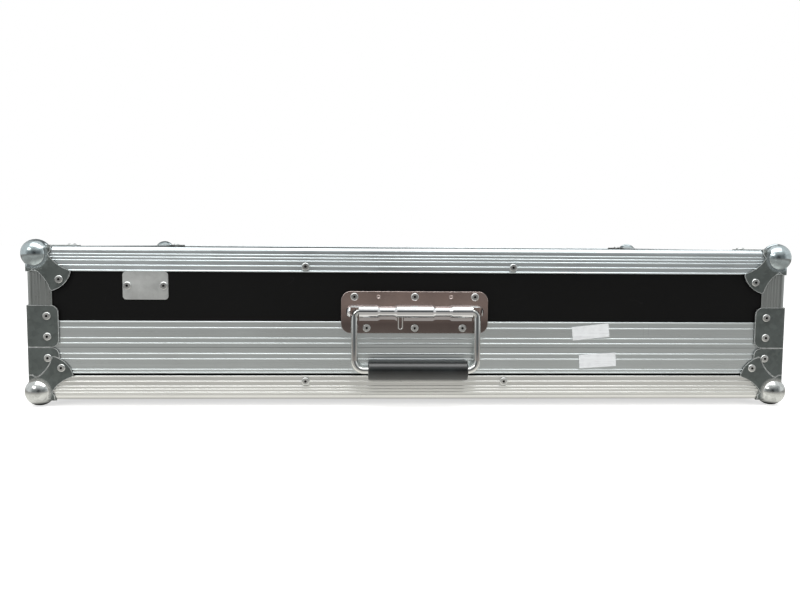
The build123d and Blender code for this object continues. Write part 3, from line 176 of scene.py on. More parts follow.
# Room in the reflections.
# The room that the metal reflects, as glowing pieces: a wall all round, dark before and behind the case and
# pale at the sides, and a wooden floor, painted dark under the case and its ball corners as their shadow,
# pale beside it and brown further off.
# Only reflections meet them. The boards' places are shares of their reach, out from under the case.
WALL_RADIUS = 3.0
WALL_HEIGHT = 5.2
WALL_FACES = 96
WALL_DARK = (0.190, 0.202, 0.206, 1)
WALL_PALE = (0.82, 0.84, 0.84, 1)
WALL_PALE_FROM_TO = (0.66, 0.90)
WALL_DARKEST = (0.055, 0.060, 0.064, 1)
WALL_DARKEST_FROM_TO = (0.10, 0.30)
WALL_LIGHTER_FROM_TO = (0.9, 2.3)
WALL_FRONT_TO_REAR = (-1.0, 1.0)
WALL_TOP_FRONT = 0.78
WALL_TOP_REAR = 0.12
BOARDS_ABOVE = 0.0004
BOARDS_REACH = 2.8
# The first step of the boards, under the case, is painted shadow.
BOARDS = (
    (0.0, (0.12, 0.12, 0.12, 1)),
    (0.010, (1.0, 0.985, 0.93, 1)),
    (0.022, (0.90, 0.885, 0.83, 1)),
    (0.038, (0.56, 0.545, 0.515, 1)),
    (0.062, (0.42, 0.41, 0.39, 1)),
    (0.20, (0.52, 0.515, 0.495, 1)),
    (0.36, (0.30, 0.275, 0.26, 1)),
    (0.70, (0.26, 0.235, 0.22, 1)),
    (1.0, (0.38, 0.365, 0.355, 1)),
)
UNDER_CASE = (0.418, 0.243)
BALL_RADIUS = 0.0164
# Painted shadow round the foot of each ball corner: where it fades out, and its darkest level.
BALL_PAINTED_SHADOW_FROM_TO = (0.0080, 0.0135)
BALL_PAINTED_SHADOW = 0.03


def reflection_only(piece, name, colour):
    """Gives a studio piece a plain glow that only reflections meet, its colour made from the position."""
    material, tree, surface = empty_material(name)
    made = colour(tree, put(tree, "TexCoord").outputs["Object"])
    tree.links.new(put(tree, "Emission", {"Color": made}).outputs[0], surface)
    piece.name = name
    piece.data.materials.append(material)
    for ray in ("camera", "diffuse", "transmission", "volume_scatter", "shadow"):
        setattr(piece, "visible_" + ray, False)


def times(tree, a, b):
    """Product of two values."""
    return reckon(tree, "MULTIPLY", a, b)


def plus(tree, a, b):
    """Sum of two values."""
    return reckon(tree, "ADD", a, b)


def ramp(tree, value, low, high, to_low=0.0, to_high=1.0):
    """A value spread from one range to another and held at its ends."""
    inputs = {"Value": value, "From Min": low, "From Max": high, "To Min": to_low, "To Max": to_high}
    return put(tree, "MapRange", inputs).outputs["Result"]


def parts_of(tree, position):
    """The three parts of a position."""
    return put(tree, "SeparateXYZ", {0: position}).outputs


def flat_length(tree, sides):
    """Length of a vector in the plane, from its two parts."""
    across = put(tree, "CombineXYZ", {0: sides[0], 1: sides[1]}).outputs[0]
    return put(tree, "VectorMath", {0: across}, operation="LENGTH").outputs["Value"]


def shaded(tree, colour, level):
    """A colour made darker or lighter by a level."""
    return put(tree, "VectorMath", {0: colour, "Scale": level}, operation="SCALE").outputs[0]


def blend_colour(tree, amount, first, second):
    """Mix of two colours."""
    node = put(tree, "Mix", data_type="RGBA")
    for socket, value in (("Factor", amount), ("A", first), ("B", second)):
        feed(tree, [s for s in node.inputs if s.name == socket and s.enabled][0], value)
    return [s for s in node.outputs if s.enabled][0]


def wall_colour(tree, position):
    """Dark before and behind, darkest in the middle, pale at the sides and a little paler high in front."""
    parts = parts_of(tree, position)
    aside = reckon(tree, "ABSOLUTE", parts[0])
    side = ramp(tree, aside, *(WALL_RADIUS * share for share in WALL_PALE_FROM_TO))
    top = ramp(tree, parts[1], *WALL_FRONT_TO_REAR, WALL_TOP_FRONT, WALL_TOP_REAR)
    above = times(tree, ramp(tree, parts[2], *WALL_LIGHTER_FROM_TO), top)
    pale = reckon(tree, "MAXIMUM", side, above)
    ahead = ramp(tree, aside, *(WALL_RADIUS * share for share in WALL_DARKEST_FROM_TO))
    return blend_colour(tree, pale, blend_colour(tree, ahead, WALL_DARKEST, WALL_DARK), WALL_PALE)


def boards_colour(tree, position):
    """Painted shadow under the case and where its ball corners stand, pale beside it and brown further off.
    """
    parts = parts_of(tree, position)
    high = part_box("base_ball_corners")[1]
    beyond, from_ball = [], []
    for axis, half in enumerate(UNDER_CASE):
        aside = reckon(tree, "ABSOLUTE", parts[axis])
        beyond.append(reckon(tree, "MAXIMUM", reckon(tree, "SUBTRACT", aside, half), 0.0))
        from_ball.append(reckon(tree, "SUBTRACT", aside, high[axis] - BALL_RADIUS))
    shades = put(tree, "ValToRGB", {"Fac": ramp(tree, flat_length(tree, beyond), 0.0, BOARDS_REACH)})
    steps = shades.color_ramp.elements
    while len(steps) < len(BOARDS):
        steps.new(0.5)
    for step, (place, colour) in zip(steps, BOARDS):
        step.position, step.color = place, colour
    lit = ramp(tree, flat_length(tree, from_ball), *BALL_PAINTED_SHADOW_FROM_TO, BALL_PAINTED_SHADOW, 1.0)
    return shaded(tree, shades.outputs["Color"], lit)


bpy.ops.mesh.primitive_cylinder_add(
    vertices=WALL_FACES,
    radius=WALL_RADIUS,
    depth=WALL_HEIGHT,
    end_fill_type="NOTHING",
    location=(0, 0, FLOOR_Z + WALL_HEIGHT / 2),
)
bpy.ops.object.transform_apply(location=True, rotation=True, scale=True)
reflection_only(bpy.context.object, "room_wall", wall_colour)
bpy.ops.mesh.primitive_plane_add(size=2 * WALL_RADIUS, location=(0, 0, FLOOR_Z + BOARDS_ABOVE))
reflection_only(bpy.context.object, "room_floor", boards_colour)

# Panels.
# 7 mm plywood faced with black plastic laminate: a faint pebble, fine scratches and a little dust.
# The panels slide into the extrusions' channels, and rivets pin them there.
# Haze, patches and pebble are noises, each given by its scale and its detail.
PANEL_BLACK = (0.0062, 0.0062, 0.0061, 1)
PANEL_PALE = (0.018, 0.018, 0.019, 1)
PANEL_DUST = (0.110, 0.110, 0.108, 1)
PANEL_SCRATCHES = {"Scale": 34.0, "Width": 0.0022, "Amount": 0.22}
PANEL_SCRATCHED = 0.5
PANEL_SPECKS = {"Scale": 95.0, "Amount": 0.45}
PANEL_HAZE = (7.0, 4.0)
PANEL_HAZED = 0.08
PANEL_PATCHES = (11.0, 5.0)
PANEL_ROUGHNESS = (0.40, 0.46)
PANEL_PEBBLE = (1300.0, 1.5)
PANEL_PEBBLE_DEPTH = 0.00003
PANEL_SPECULAR = 0.10
SCRATCH_TURNS = ((0.35, 0.0), (-0.9, 3.1), (1.45, 7.7))
SCRATCH_TWIST = 0.7
SCRATCH_STRETCH = (0.06, 1.0, 1.0)
SCRATCH_PATCHES = 0.35
SCRATCH_LIMITS = (0.75, 0.35)
DUST_DRIFT = (14.0, 3.0)
DUST_RADII = (0.03, 0.13)
CLOUD_RANGE = (0.3, 0.7)
PATCH_RANGE = (0.35, 0.7)
HAZE_RANGE = (0.4, 0.8)
ROUND_SAMPLES = 6


def start_group(name, inputs, outputs):
    """An empty shader group with named inputs, each with its first value, and named outputs."""
    group = bpy.data.node_groups.new(name, "ShaderNodeTree")
    for socket, (kind, value) in inputs.items():
        made = group.interface.new_socket(name=socket, in_out="INPUT", socket_type="NodeSocket" + kind)
        if value is not None:
            made.default_value = value
    for socket, kind in outputs.items():
        group.interface.new_socket(name=socket, in_out="OUTPUT", socket_type="NodeSocket" + kind)
    return group, group.nodes.new("NodeGroupInput").outputs, group.nodes.new("NodeGroupOutput").inputs


def use_group(tree, group, position, **values):
    """Places a shader group in a material, with its values."""
    node = tree.nodes.new("ShaderNodeGroup")
    node.node_tree = group
    for socket, value in {"Position": position, **values}.items():
        feed(tree, node.inputs[socket], value)
    return node.outputs[0]


def noise(tree, position, scale, detail):
    """Soft noise about a half, from its scale and its detail."""
    return put(tree, "TexNoise", {"Vector": position, "Scale": scale, "Detail": detail}).outputs[0]


def clouds(tree, position, kind, low=0.0, high=1.0, spread=CLOUD_RANGE):
    """Noise whose middle range is spread from a low value to a high one."""
    return ramp(tree, noise(tree, position, *kind), *spread, low, high)


def stretched(tree, position, scale, turn=(0, 0, 0)):
    """Positions turned and then scaled along each axis."""
    inputs = {"Vector": position, "Rotation": turn, "Scale": scale}
    return put(tree, "Mapping", inputs, vector_type="POINT").outputs[0]


# Scratches: thin broken lines that run every way across a surface.
scratches, given, out = start_group(
    "scratches",
    {
        "Position": ("Vector", None),
        "Scale": ("Float", 30.0),
        "Width": ("Float", 0.01),
        "Amount": ("Float", 0.5),
    },
    {"Mask": "Float"},
)
found = 0.0
for angle, shift in SCRATCH_TURNS:
    turned = stretched(scratches, given["Position"], (1.0, 1.0, 1.0), (angle, angle * SCRATCH_TWIST, angle))
    long_way = put(scratches, "VectorMath", {0: turned, 1: SCRATCH_STRETCH}, operation="MULTIPLY").outputs[0]
    lines = put(
        scratches,
        "TexNoise",
        {"Vector": long_way, "W": shift, "Scale": given["Scale"], "Detail": 1.0, "Roughness": 0.4},
        noise_dimensions="4D",
    )
    away = reckon(scratches, "ABSOLUTE", reckon(scratches, "SUBTRACT", lines.outputs[0], 0.5))
    line = reckon(scratches, "LESS_THAN", away, given["Width"])
    patch_scale = times(scratches, given["Scale"], SCRATCH_PATCHES)
    patch = put(
        scratches,
        "TexNoise",
        {"Vector": turned, "W": shift + 1.0, "Scale": patch_scale, "Detail": 2.0},
        noise_dimensions="4D",
    )
    limit = ramp(scratches, given["Amount"], 0.0, 1.0, *SCRATCH_LIMITS)
    kept = reckon(scratches, "GREATER_THAN", patch.outputs[0], limit)
    found = reckon(scratches, "MAXIMUM", found, times(scratches, line, kept))
scratches.links.new(found, out["Mask"])

# Dust: small round specks of uneven size, thick in some places and thin in others.
dust, given, out = start_group(
    "dust",
    {"Position": ("Vector", None), "Scale": ("Float", 90.0), "Amount": ("Float", 0.3)},
    {"Mask": "Float"},
)
cells = put(dust, "TexVoronoi", {"Vector": given["Position"], "Scale": given["Scale"]}, feature="F1")
drawn_size = put(dust, "SeparateColor", {"Color": cells.outputs["Color"]}).outputs
speck = reckon(dust, "LESS_THAN", cells.outputs["Distance"], ramp(dust, drawn_size[0], 0.0, 1.0, *DUST_RADII))
thick = times(dust, clouds(dust, given["Position"], DUST_DRIFT, spread=PATCH_RANGE), given["Amount"])
kept = reckon(dust, "LESS_THAN", drawn_size[1], thick)
dust.links.new(times(dust, speck, kept), out["Mask"])


def finish_material(name, colour, metallic, roughness, height=None, depth=0.0, rounding=0.0, specular=0.5):
    """Principled material from a colour, a metallic value and a roughness, each plain or made by a function.

    Its relief is a height, made by a function, over a depth, or edges that look rounded by a radius.
    """
    material, tree, surface = empty_material(name)
    shader = put(tree, "BsdfPrincipled", {"Specular IOR Level": specular})
    position = put(tree, "TexCoord").outputs["Object"]
    made = {"Base Color": colour, "Metallic": metallic, "Roughness": roughness}
    for socket, value in made.items():
        feed(tree, shader.inputs[socket], value(tree, position) if callable(value) else value)
    if height:
        bump = put(tree, "Bump", {"Height": height(tree, position), "Distance": depth, "Strength": 1.0})
        tree.links.new(bump.outputs[0], shader.inputs["Normal"])
    if rounding:
        rounded = put(tree, "Bevel", {"Radius": rounding}, samples=ROUND_SAMPLES)
        tree.links.new(rounded.outputs[0], shader.inputs["Normal"])
    tree.links.new(shader.outputs[0], surface)
    return material


def panel_colour(tree, position):
    """Black, with handling haze, paler scratches and dust."""
    haze = clouds(tree, position, PANEL_HAZE, 0.0, PANEL_HAZED, HAZE_RANGE)
    colour = blend_colour(tree, haze, PANEL_BLACK, PANEL_PALE)
    lines = use_group(tree, scratches, position, **PANEL_SCRATCHES)
    colour = blend_colour(tree, times(tree, lines, PANEL_SCRATCHED), colour, PANEL_PALE)
    return blend_colour(tree, use_group(tree, dust, position, **PANEL_SPECKS), colour, PANEL_DUST)


def panel_roughness(tree, position):
    """Satin laminate with greasier and duller patches."""
    return clouds(tree, position, PANEL_PATCHES, *PANEL_ROUGHNESS)


def panel_height(tree, position):
    """Fine pebble of the laminate."""
    return noise(tree, position, *PANEL_PEBBLE)


def dress(node, material):
    """Gives a CAD node its material in place of the plain one."""
    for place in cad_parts[node].material_slots:
        place.material = material


laminate = finish_material(
    "black laminate",
    panel_colour,
    0.0,
    panel_roughness,
    panel_height,
    PANEL_PEBBLE_DEPTH,
    specular=PANEL_SPECULAR,
)
for node in ("base_floor_panel", "lid_top_panel"):
    dress(node, laminate)
for side in ("front", "rear", "left", "right"):
    dress("base_wall_" + side, laminate)
    dress("lid_wall_" + side, laminate)

# Edge and rim extrusions.
# Satin aluminium drawn through a die, with fine lines along its run and soft stains from handling.
# Mitred at the corners and rivetted through the panel; the rims close on each other as tongue and groove.
# The lid's and the base's edges are one extrusion, painted bluer on the lid and warmer on the base as light.
LID_EDGE_COLOUR = (0.85, 0.915, 0.935, 1)
BASE_EDGE_COLOUR = (0.84, 0.845, 0.825, 1)
RIM_COLOUR = (0.74, 0.785, 0.79, 1)
# The uprights are the same aluminium, painted darker as shade on their vertical ribs.
UPRIGHT_SHADED_COLOUR = (0.44, 0.465, 0.455, 1)
DIE_LINES_ALONG = 5.0
DIE_LINES_ACROSS = 2600.0
DIE_LINES_RANGE = (0.2, 0.8)
DIE_LINES_SHADE = (0.93, 1.05)
DIE_LINES_ROUGHNESS = (0.24, 0.38)
DIE_LINES_DEPTH = 0.000012
STAINS = (6.0, 5.0)
STAINS_SHADE = (-0.05, 0.05)
GREASE = (19.0, 4.0)
GREASE_ROUGHNESS = (-0.04, 0.06)
ALUMINIUM_SCRATCHES = {"Scale": 40.0, "Width": 0.002, "Amount": 0.2}
ALUMINIUM_SCRATCHED = -0.22

# Die lines: streaks that run along one axis, as a value about a half.
die_lines, given, out = start_group(
    "die lines",
    {"Position": ("Vector", None), "Stretch": ("Vector", (1.0, 1.0, 1.0))},
    {"Value": "Float"},
)
factors = {0: given["Position"], 1: given["Stretch"]}
drawn = put(die_lines, "VectorMath", factors, operation="MULTIPLY").outputs[0]
streaks = put(die_lines, "TexNoise", {"Vector": drawn, "Scale": 1.0, "Detail": 3.0, "Roughness": 0.6})
die_lines.links.new(streaks.outputs[0], out["Value"])


def aluminium(name, colour, run):
    """Satin aluminium whose die lines run along one axis."""
    stretch = [DIE_LINES_ACROSS] * 3
    stretch["XYZ".index(run)] = DIE_LINES_ALONG

    def height(tree, position):
        return use_group(tree, die_lines, position, Stretch=stretch)

    def shade(tree, position):
        lines = ramp(tree, height(tree, position), *DIE_LINES_RANGE, *DIE_LINES_SHADE)
        level = plus(tree, lines, clouds(tree, position, STAINS, *STAINS_SHADE))
        rubbed = use_group(tree, scratches, position, **ALUMINIUM_SCRATCHES)
        level = plus(tree, level, times(tree, rubbed, ALUMINIUM_SCRATCHED))
        return shaded(tree, colour[:3], level)

    def roughness(tree, position):
        lines = ramp(tree, height(tree, position), *DIE_LINES_RANGE, *DIE_LINES_ROUGHNESS)
        return plus(tree, lines, clouds(tree, position, GREASE, *GREASE_ROUGHNESS))

    return finish_material(name, shade, 1.0, roughness, height, DIE_LINES_DEPTH)


for half, colour in (("lid", LID_EDGE_COLOUR), ("base", BASE_EDGE_COLOUR)):
    for run, sides in (("X", ("front", "rear")), ("Y", ("left", "right"))):
        edge = aluminium(half + " edge along " + run, colour, run)
        rim = aluminium(half + " rim along " + run, RIM_COLOUR, run)
        for side in sides:
            dress(half + "_edge_" + side, edge)
            dress(half + "_rim_" + side, rim)
dress("lid_corner_angles", aluminium("upright angle", UPRIGHT_SHADED_COLOUR, "Z"))

# Ball corners and corner braces.
# Pressed from zinc plated steel: the ball polished by handling, its neck creased by the press,
# the webs dull and mottled, their edges painted bright as wear and highlight. Rivets hold them through the
# webs; the braces lie flat over the rims' ends.
# The balls' colour is painted per half as light: paler on the base, darker and bluer on the lid.
BALL_STEEL_LIT_PER_HALF = {"lid": (0.475, 0.540, 0.555, 1), "base": (0.60, 0.615, 0.605, 1)}
BALL_POLISH_FROM_TO = (1.015, 1.25)
BALL_SMOOTHER = 0.5
WEB_STEEL = (0.112, 0.128, 0.122, 1)
WEB_METALLIC = 0.5
WEB_ROUGHNESS = (0.30, 0.44)
BRACE_ROUGHNESS = (0.34, 0.46)
# Edges are painted this near-white partly as wear and partly as highlight.
STEEL_WORN_AND_HIGHLIT = (0.94, 0.96, 0.95, 1)
STEEL_GRIME = (0.060, 0.062, 0.058, 1)
STEEL_WEAR_AND_HIGHLIGHT = {"Radius": 0.0011, "Breakup": 0.35}
STEEL_SPECKS = {"Scale": 240.0, "Amount": 0.35}
STEEL_SPECKLED = 0.6
SPANGLE_SCALE = 210.0
STEEL_STAINS = (42.0, 5.0)
STEEL_STAINS_SHADE = (-0.1, 0.1)
STEEL_PATCHES = (60.0, 5.0)
STEEL_GRAIN = (380.0, 2.0)
STEEL_GRAIN_DEPTH = 0.00002
NECK_FROM_TO = (0.0170, 0.0195)
NECK_END_FROM_TO = (0.0215, 0.0250)
CREASES = (380.0, 2.0)
CREASE_OVER_GRAIN = 80.0
WEAR_BEND = (0.988, 0.94)
CHIPS = (160.0, 3.0)
CHIPS_RANGE = (0.35, 0.6)

# Edge wear and highlight: how far a point lies on an outer edge, from the normal of the edge as if it were
# rounded; the bright colour it brings is partly wear and partly painted highlight.
edge_wear_and_highlight, given, out = start_group(
    "bright edges",
    {"Radius": ("Float", 0.001), "Position": ("Vector", None), "Breakup": ("Float", 0.4)},
    {"Mask": "Float"},
)
rounded = put(edge_wear_and_highlight, "Bevel", {"Radius": given["Radius"]}, samples=ROUND_SAMPLES).outputs[0]
flat = put(edge_wear_and_highlight, "NewGeometry").outputs["Normal"]
same = put(edge_wear_and_highlight, "VectorMath", {0: rounded, 1: flat}, operation="DOT_PRODUCT").outputs["Value"]
bent = ramp(edge_wear_and_highlight, same, *WEAR_BEND)
chips = clouds(edge_wear_and_highlight, given["Position"], CHIPS, spread=CHIPS_RANGE)
whole = reckon(edge_wear_and_highlight, "SUBTRACT", 1.0, given["Breakup"])
chips = plus(edge_wear_and_highlight, times(edge_wear_and_highlight, chips, given["Breakup"]), whole)
edge_wear_and_highlight.links.new(times(edge_wear_and_highlight, bent, chips), out["Mask"])


def pressed_steel(name, colour, rough, mottle=0.12, wear_and_highlight=0.8, metallic=1.0, reach=None, ball=None):
    """Zinc plated steel, mottled, with edges painted bright as wear and highlight, from one roughness to
    another.

    A ball corner's reach is a point's distance from the middle of its ball, which has its own colour.
    """

    def polish(tree, position):
        first, last = (BALL_RADIUS * share for share in BALL_POLISH_FROM_TO)
        return ramp(tree, reach(tree, position), first, last, 1.0, 0.0)

    def shade(tree, position):
        spangle = put(tree, "TexVoronoi", {"Vector": position, "Scale": SPANGLE_SCALE}, feature="F1")
        grey = put(tree, "SeparateColor", {"Color": spangle.outputs["Color"]}).outputs[0]
        mottled = ramp(tree, grey, 0.0, 1.0, 1 - mottle, 1 + mottle)
        level = plus(tree, mottled, clouds(tree, position, STEEL_STAINS, *STEEL_STAINS_SHADE))
        plain = blend_colour(tree, polish(tree, position), colour, ball) if reach else colour[:3]
        plain = shaded(tree, plain, level)
        specks = use_group(tree, dust, position, **STEEL_SPECKS)
        plain = blend_colour(tree, times(tree, specks, STEEL_SPECKLED), plain, STEEL_GRIME)
        worn_and_highlit = use_group(tree, edge_wear_and_highlight, position, **STEEL_WEAR_AND_HIGHLIGHT)
        return blend_colour(tree, times(tree, worn_and_highlit, wear_and_highlight), plain, STEEL_WORN_AND_HIGHLIT)

    def metal(tree, position):
        return ramp(tree, polish(tree, position), 0.0, 1.0, metallic, 1.0)

    def roughness(tree, position):
        made = clouds(tree, position, STEEL_PATCHES, *rough)
        if not reach:
            return made
        return times(tree, made, ramp(tree, polish(tree, position), 0.0, 1.0, 1.0, BALL_SMOOTHER))

    def height(tree, position):
        grain = noise(tree, position, *STEEL_GRAIN)
        if not reach:
            return grain
        away = reach(tree, position)
        neck = times(tree, ramp(tree, away, *NECK_FROM_TO), ramp(tree, away, *NECK_END_FROM_TO, 1.0, 0.0))
        crease = reckon(tree, "ABSOLUTE", reckon(tree, "SUBTRACT", noise(tree, position, *CREASES), 0.5))
        return plus(tree, grain, times(tree, times(tree, crease, neck), CREASE_OVER_GRAIN))

    return finish_material(name, shade, metal if reach else metallic, roughness, height, STEEL_GRAIN_DEPTH)


def ball_reach(half):
    """Distance of a point from the middle of the nearest ball of one half, as a maker of nodes."""
    low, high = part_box(half + "_ball_corners")
    middle = [high[0] - BALL_RADIUS, high[1] - BALL_RADIUS]
    middle.append(high[2] - BALL_RADIUS if half == "lid" else low[2] + BALL_RADIUS)

    def reach(tree, position):
        parts = parts_of(tree, position)
        folded = {0: reckon(tree, "ABSOLUTE", parts[0]), 1: reckon(tree, "ABSOLUTE", parts[1]), 2: parts[2]}
        folded = put(tree, "CombineXYZ", folded).outputs[0]
        return put(tree, "VectorMath", {0: folded, 1: middle}, operation="DISTANCE").outputs["Value"]

    return reach


brace = pressed_steel("brace steel", WEB_STEEL, BRACE_ROUGHNESS, metallic=WEB_METALLIC, wear_and_highlight=1.0)
for half in ("lid", "base"):
    corner = pressed_steel(
        half + " ball corner steel",
        WEB_STEEL,
        WEB_ROUGHNESS,
        metallic=WEB_METALLIC,
        wear_and_highlight=1.0,
        reach=ball_reach(half),
        ball=BALL_STEEL_LIT_PER_HALF[half],
    )
    dress(half + "_ball_corners", corner)
    dress(half + "_corner_braces", brace)

# Rivets.
# Zinc plated pop rivets; the broken stem sits in the eye of each head, coloured near black as painted shade
# in the eye.
# The stems are modelled here, one small stub with a torn tip to each rivet of the imported groups.
RIVET_STEEL = (0.70, 0.71, 0.70, 1)
RIVET_ROUGHNESS = (0.18, 0.30)
STEM_SHADE_DARK = (0.020, 0.020, 0.020, 1)
STEM_ROUGHNESS = (0.45, 0.60)
STEM_SIDES = 12
STEM_RADIUS = 0.00138
STEM_FOOT = 0.00128
STEM_TIP = 0.00070
TORN_RIM = (0.45, 0.3)
TORN_PIT = (0.15, -0.2)
CASE_MIDDLE_Z = 0.085
SAME_PLACE = 1e-6
SAME_PLANE = 1e-5
FACES_UP = 0.9

rivet_steel = pressed_steel("rivet steel", RIVET_STEEL, RIVET_ROUGHNESS, mottle=0.05, wear_and_highlight=0.3)
stem_steel = pressed_steel("rivet stem", STEM_SHADE_DARK, STEM_ROUGHNESS, mottle=0.2, wear_and_highlight=0.0)


def group_centre(group):
    """Middle of a group of points."""
    return sum(group, Vector()) / len(group)


def islands(node):
    """The separate solids of a CAD node, each as a list of its points, in the order of their places."""
    shell = bmesh.new()
    shell.from_mesh(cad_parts[node].data)
    bmesh.ops.remove_doubles(shell, verts=shell.verts, dist=SAME_PLACE)
    left = set(shell.verts)
    found = []
    while left:
        start = left.pop()
        heap, group = [start], [start.co.copy()]
        while heap:
            for edge in heap.pop().link_edges:
                for point in edge.verts:
                    if point in left:
                        left.remove(point)
                        heap.append(point)
                        group.append(point.co.copy())
        found.append(group)
    shell.free()
    return sorted(found, key=lambda group: tuple(round(c, 5) for c in group_centre(group)))


def rivet_axis(group):
    """Point on top of a rivet's head, and the way it faces: a rivet is longest along its shank."""
    low = Vector([min(point[i] for point in group) for i in range(3)])
    high = Vector([max(point[i] for point in group) for i in range(3)])
    spans = high - low
    along = max(range(3), key=lambda axis: spans[axis])
    middle = (low[along] + high[along]) / 2
    outward = 1 if middle > (CASE_MIDDLE_Z if along == 2 else 0.0) else -1
    foot = low[along] if outward > 0 else high[along]
    top = group_centre([point for point in group if abs(point[along] - foot) < SAME_PLANE])
    top[along] = high[along] if outward > 0 else low[along]
    facing = Vector((0, 0, 0))
    facing[along] = outward
    return top, facing


def broken_stem():
    """One stem's end, a stub with a torn tip, as it sits in a rivet whose head has its top at the origin."""
    bpy.ops.mesh.primitive_cylinder_add(vertices=STEM_SIDES, radius=STEM_RADIUS, depth=STEM_FOOT - STEM_TIP)
    stub = bpy.context.object
    bpy.ops.object.mode_set(mode="EDIT")
    shape = bmesh.from_edit_mesh(stub.data)
    for face in shape.faces:
        face.select_set(face.normal.z > FACES_UP)
    shape.select_flush_mode()
    bmesh.update_edit_mesh(stub.data)
    for inward, deep in (TORN_RIM, TORN_PIT):
        bpy.ops.mesh.inset(thickness=STEM_RADIUS * inward, depth=STEM_RADIUS * deep)
    bpy.ops.object.mode_set(mode="OBJECT")
    stub.data.transform(Matrix.Translation((0, 0, -(STEM_FOOT + STEM_TIP) / 2)))
    return stub


def join(name, pieces):
    """Joins finished pieces into one object at the origin."""
    bpy.ops.object.select_all(action="DESELECT")
    for piece in pieces:
        piece.select_set(True)
    bpy.context.view_layer.objects.active = pieces[0]
    bpy.ops.object.join()
    pieces[0].name = name
    bpy.ops.object.transform_apply(location=True, rotation=True, scale=True)
    bpy.ops.object.select_all(action="DESELECT")
    return pieces[0]


for half in ("lid", "base"):
    dress(half + "_rivets", rivet_steel)
    stubs = []
    first = broken_stem()
    for group in islands(half + "_rivets"):
        top, facing = rivet_axis(group)
        copy = first.copy()
        copy.data = first.data.copy()
        scene.collection.objects.link(copy)
        aimed = facing.to_track_quat("Z", "Y").to_matrix().to_4x4()
        copy.data.transform(Matrix.Translation(top) @ aimed)
        stubs.append(copy)
    bpy.data.objects.remove(first)
    stems = join(half + "_rivet_stems", stubs)
    stems.data.materials.append(stem_steel)
    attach(stems, half)

# Sprung handle.
# A polished steel plate rivetted to the lid over a black packer, and a chromed saddle that the bail turns in.
# The return spring lies in the saddle, its hairpin tail shows below; a rubber grip is moulded on the bail.
# The plate's brown tint is painted reflection of a brown room, and it is painted darker low down as shade
# under the saddle: between two heights its shade goes from one level to another.
PLATE_STEEL = (0.42, 0.340, 0.315, 1)
PLATE_ROUGHNESS = (0.07, 0.16)
PLATE_STAIN = 0.14
PLATE_PAINTED_SHADE = (0.086, 0.108, 0.50, 1.48)
PLATE_ROUNDING = 0.0012
CHROME = (0.92, 0.92, 0.93, 1)
SADDLE_ROUGHNESS = (0.05, 0.10)
BAIL_CHROME = (0.76, 0.765, 0.75, 1)
BAIL_ROUGHNESS = (0.04, 0.08)
SPRING_STEEL = (0.84, 0.83, 0.81, 1)
SPRING_ROUGHNESS = (0.15, 0.25)
CHROME_SPECKS = {"Scale": 330.0, "Amount": 0.25}
CHROME_SPECKLED = 0.5
# Chrome edges are painted bright partly as wear and partly as highlight.
CHROME_WEAR_AND_HIGHLIGHT = {"Radius": 0.0008, "Breakup": 0.1}
CHROME_WORN_AND_HIGHLIT = 0.7
CHROME_STAINS = (34.0, 5.0)
CHROME_STAINS_PALER = 0.4
WIPED_TURN = (0.0, 0.4, 0.0)
WIPED_STRETCH = (30.0, 90.0, 90.0)
WIPES = (1.0, 6.0)
GRIP_RUBBER = (0.005, 0.0058, 0.0060, 1)
GRIP_BLOOM = (0.020, 0.026, 0.027, 1)
GRIP_BLOOMS = (55.0, 5.0)
GRIP_BLOOM_RANGE = (0.35, 0.75)
GRIP_BLOOMED = 0.55
GRIP_SPECKS = {"Scale": 260.0, "Amount": 0.4}
GRIP_SPECULAR = 0.8
GRIP_ROUGHNESS = 0.27
GRIP_GRAIN_DEPTH = 0.00003
MOULD_GRAIN = (1500.0, 2.0)
PACKER_BLACK = (0.010, 0.010, 0.010, 1)
PACKER_ROUGHNESS = 0.55
PACKER_GRAIN_DEPTH = 0.00002


def polished(name, colour, rough, stain, by_height=None, rounding=0.0):
    """Polished or chromed steel with wiping marks and edges painted bright as wear and highlight, from one
    roughness to another.
    """

    def shade(tree, position):
        level = clouds(tree, position, CHROME_STAINS, 1 - stain, 1 + stain * CHROME_STAINS_PALER)
        # Painted shade: darker low down, between two heights.
        if by_height:
            level = times(tree, level, ramp(tree, parts_of(tree, position)[2], *by_height))
        plain = shaded(tree, colour[:3], level)
        specks = use_group(tree, dust, position, **CHROME_SPECKS)
        plain = blend_colour(tree, times(tree, specks, CHROME_SPECKLED), plain, STEEL_GRIME)
        worn_and_highlit = use_group(tree, edge_wear_and_highlight, position, **CHROME_WEAR_AND_HIGHLIGHT)
        return blend_colour(tree, times(tree, worn_and_highlit, CHROME_WORN_AND_HIGHLIT), plain, STEEL_WORN_AND_HIGHLIT)

    def roughness(tree, position):
        wiped = stretched(tree, position, WIPED_STRETCH, WIPED_TURN)
        return clouds(tree, wiped, WIPES, *rough)

    return finish_material(name, shade, 1.0, roughness, rounding=rounding)


def rubber_colour(tree, position):
    """Black rubber with a greyer bloom in patches."""
    bloom = clouds(tree, position, GRIP_BLOOMS, 0.0, GRIP_BLOOMED, GRIP_BLOOM_RANGE)
    plain = blend_colour(tree, bloom, GRIP_RUBBER, GRIP_BLOOM)
    return blend_colour(tree, use_group(tree, dust, position, **GRIP_SPECKS), plain, GRIP_BLOOM)


def mould_height(tree, position):
    """Fine grain of the mould."""
    return noise(tree, position, *MOULD_GRAIN)


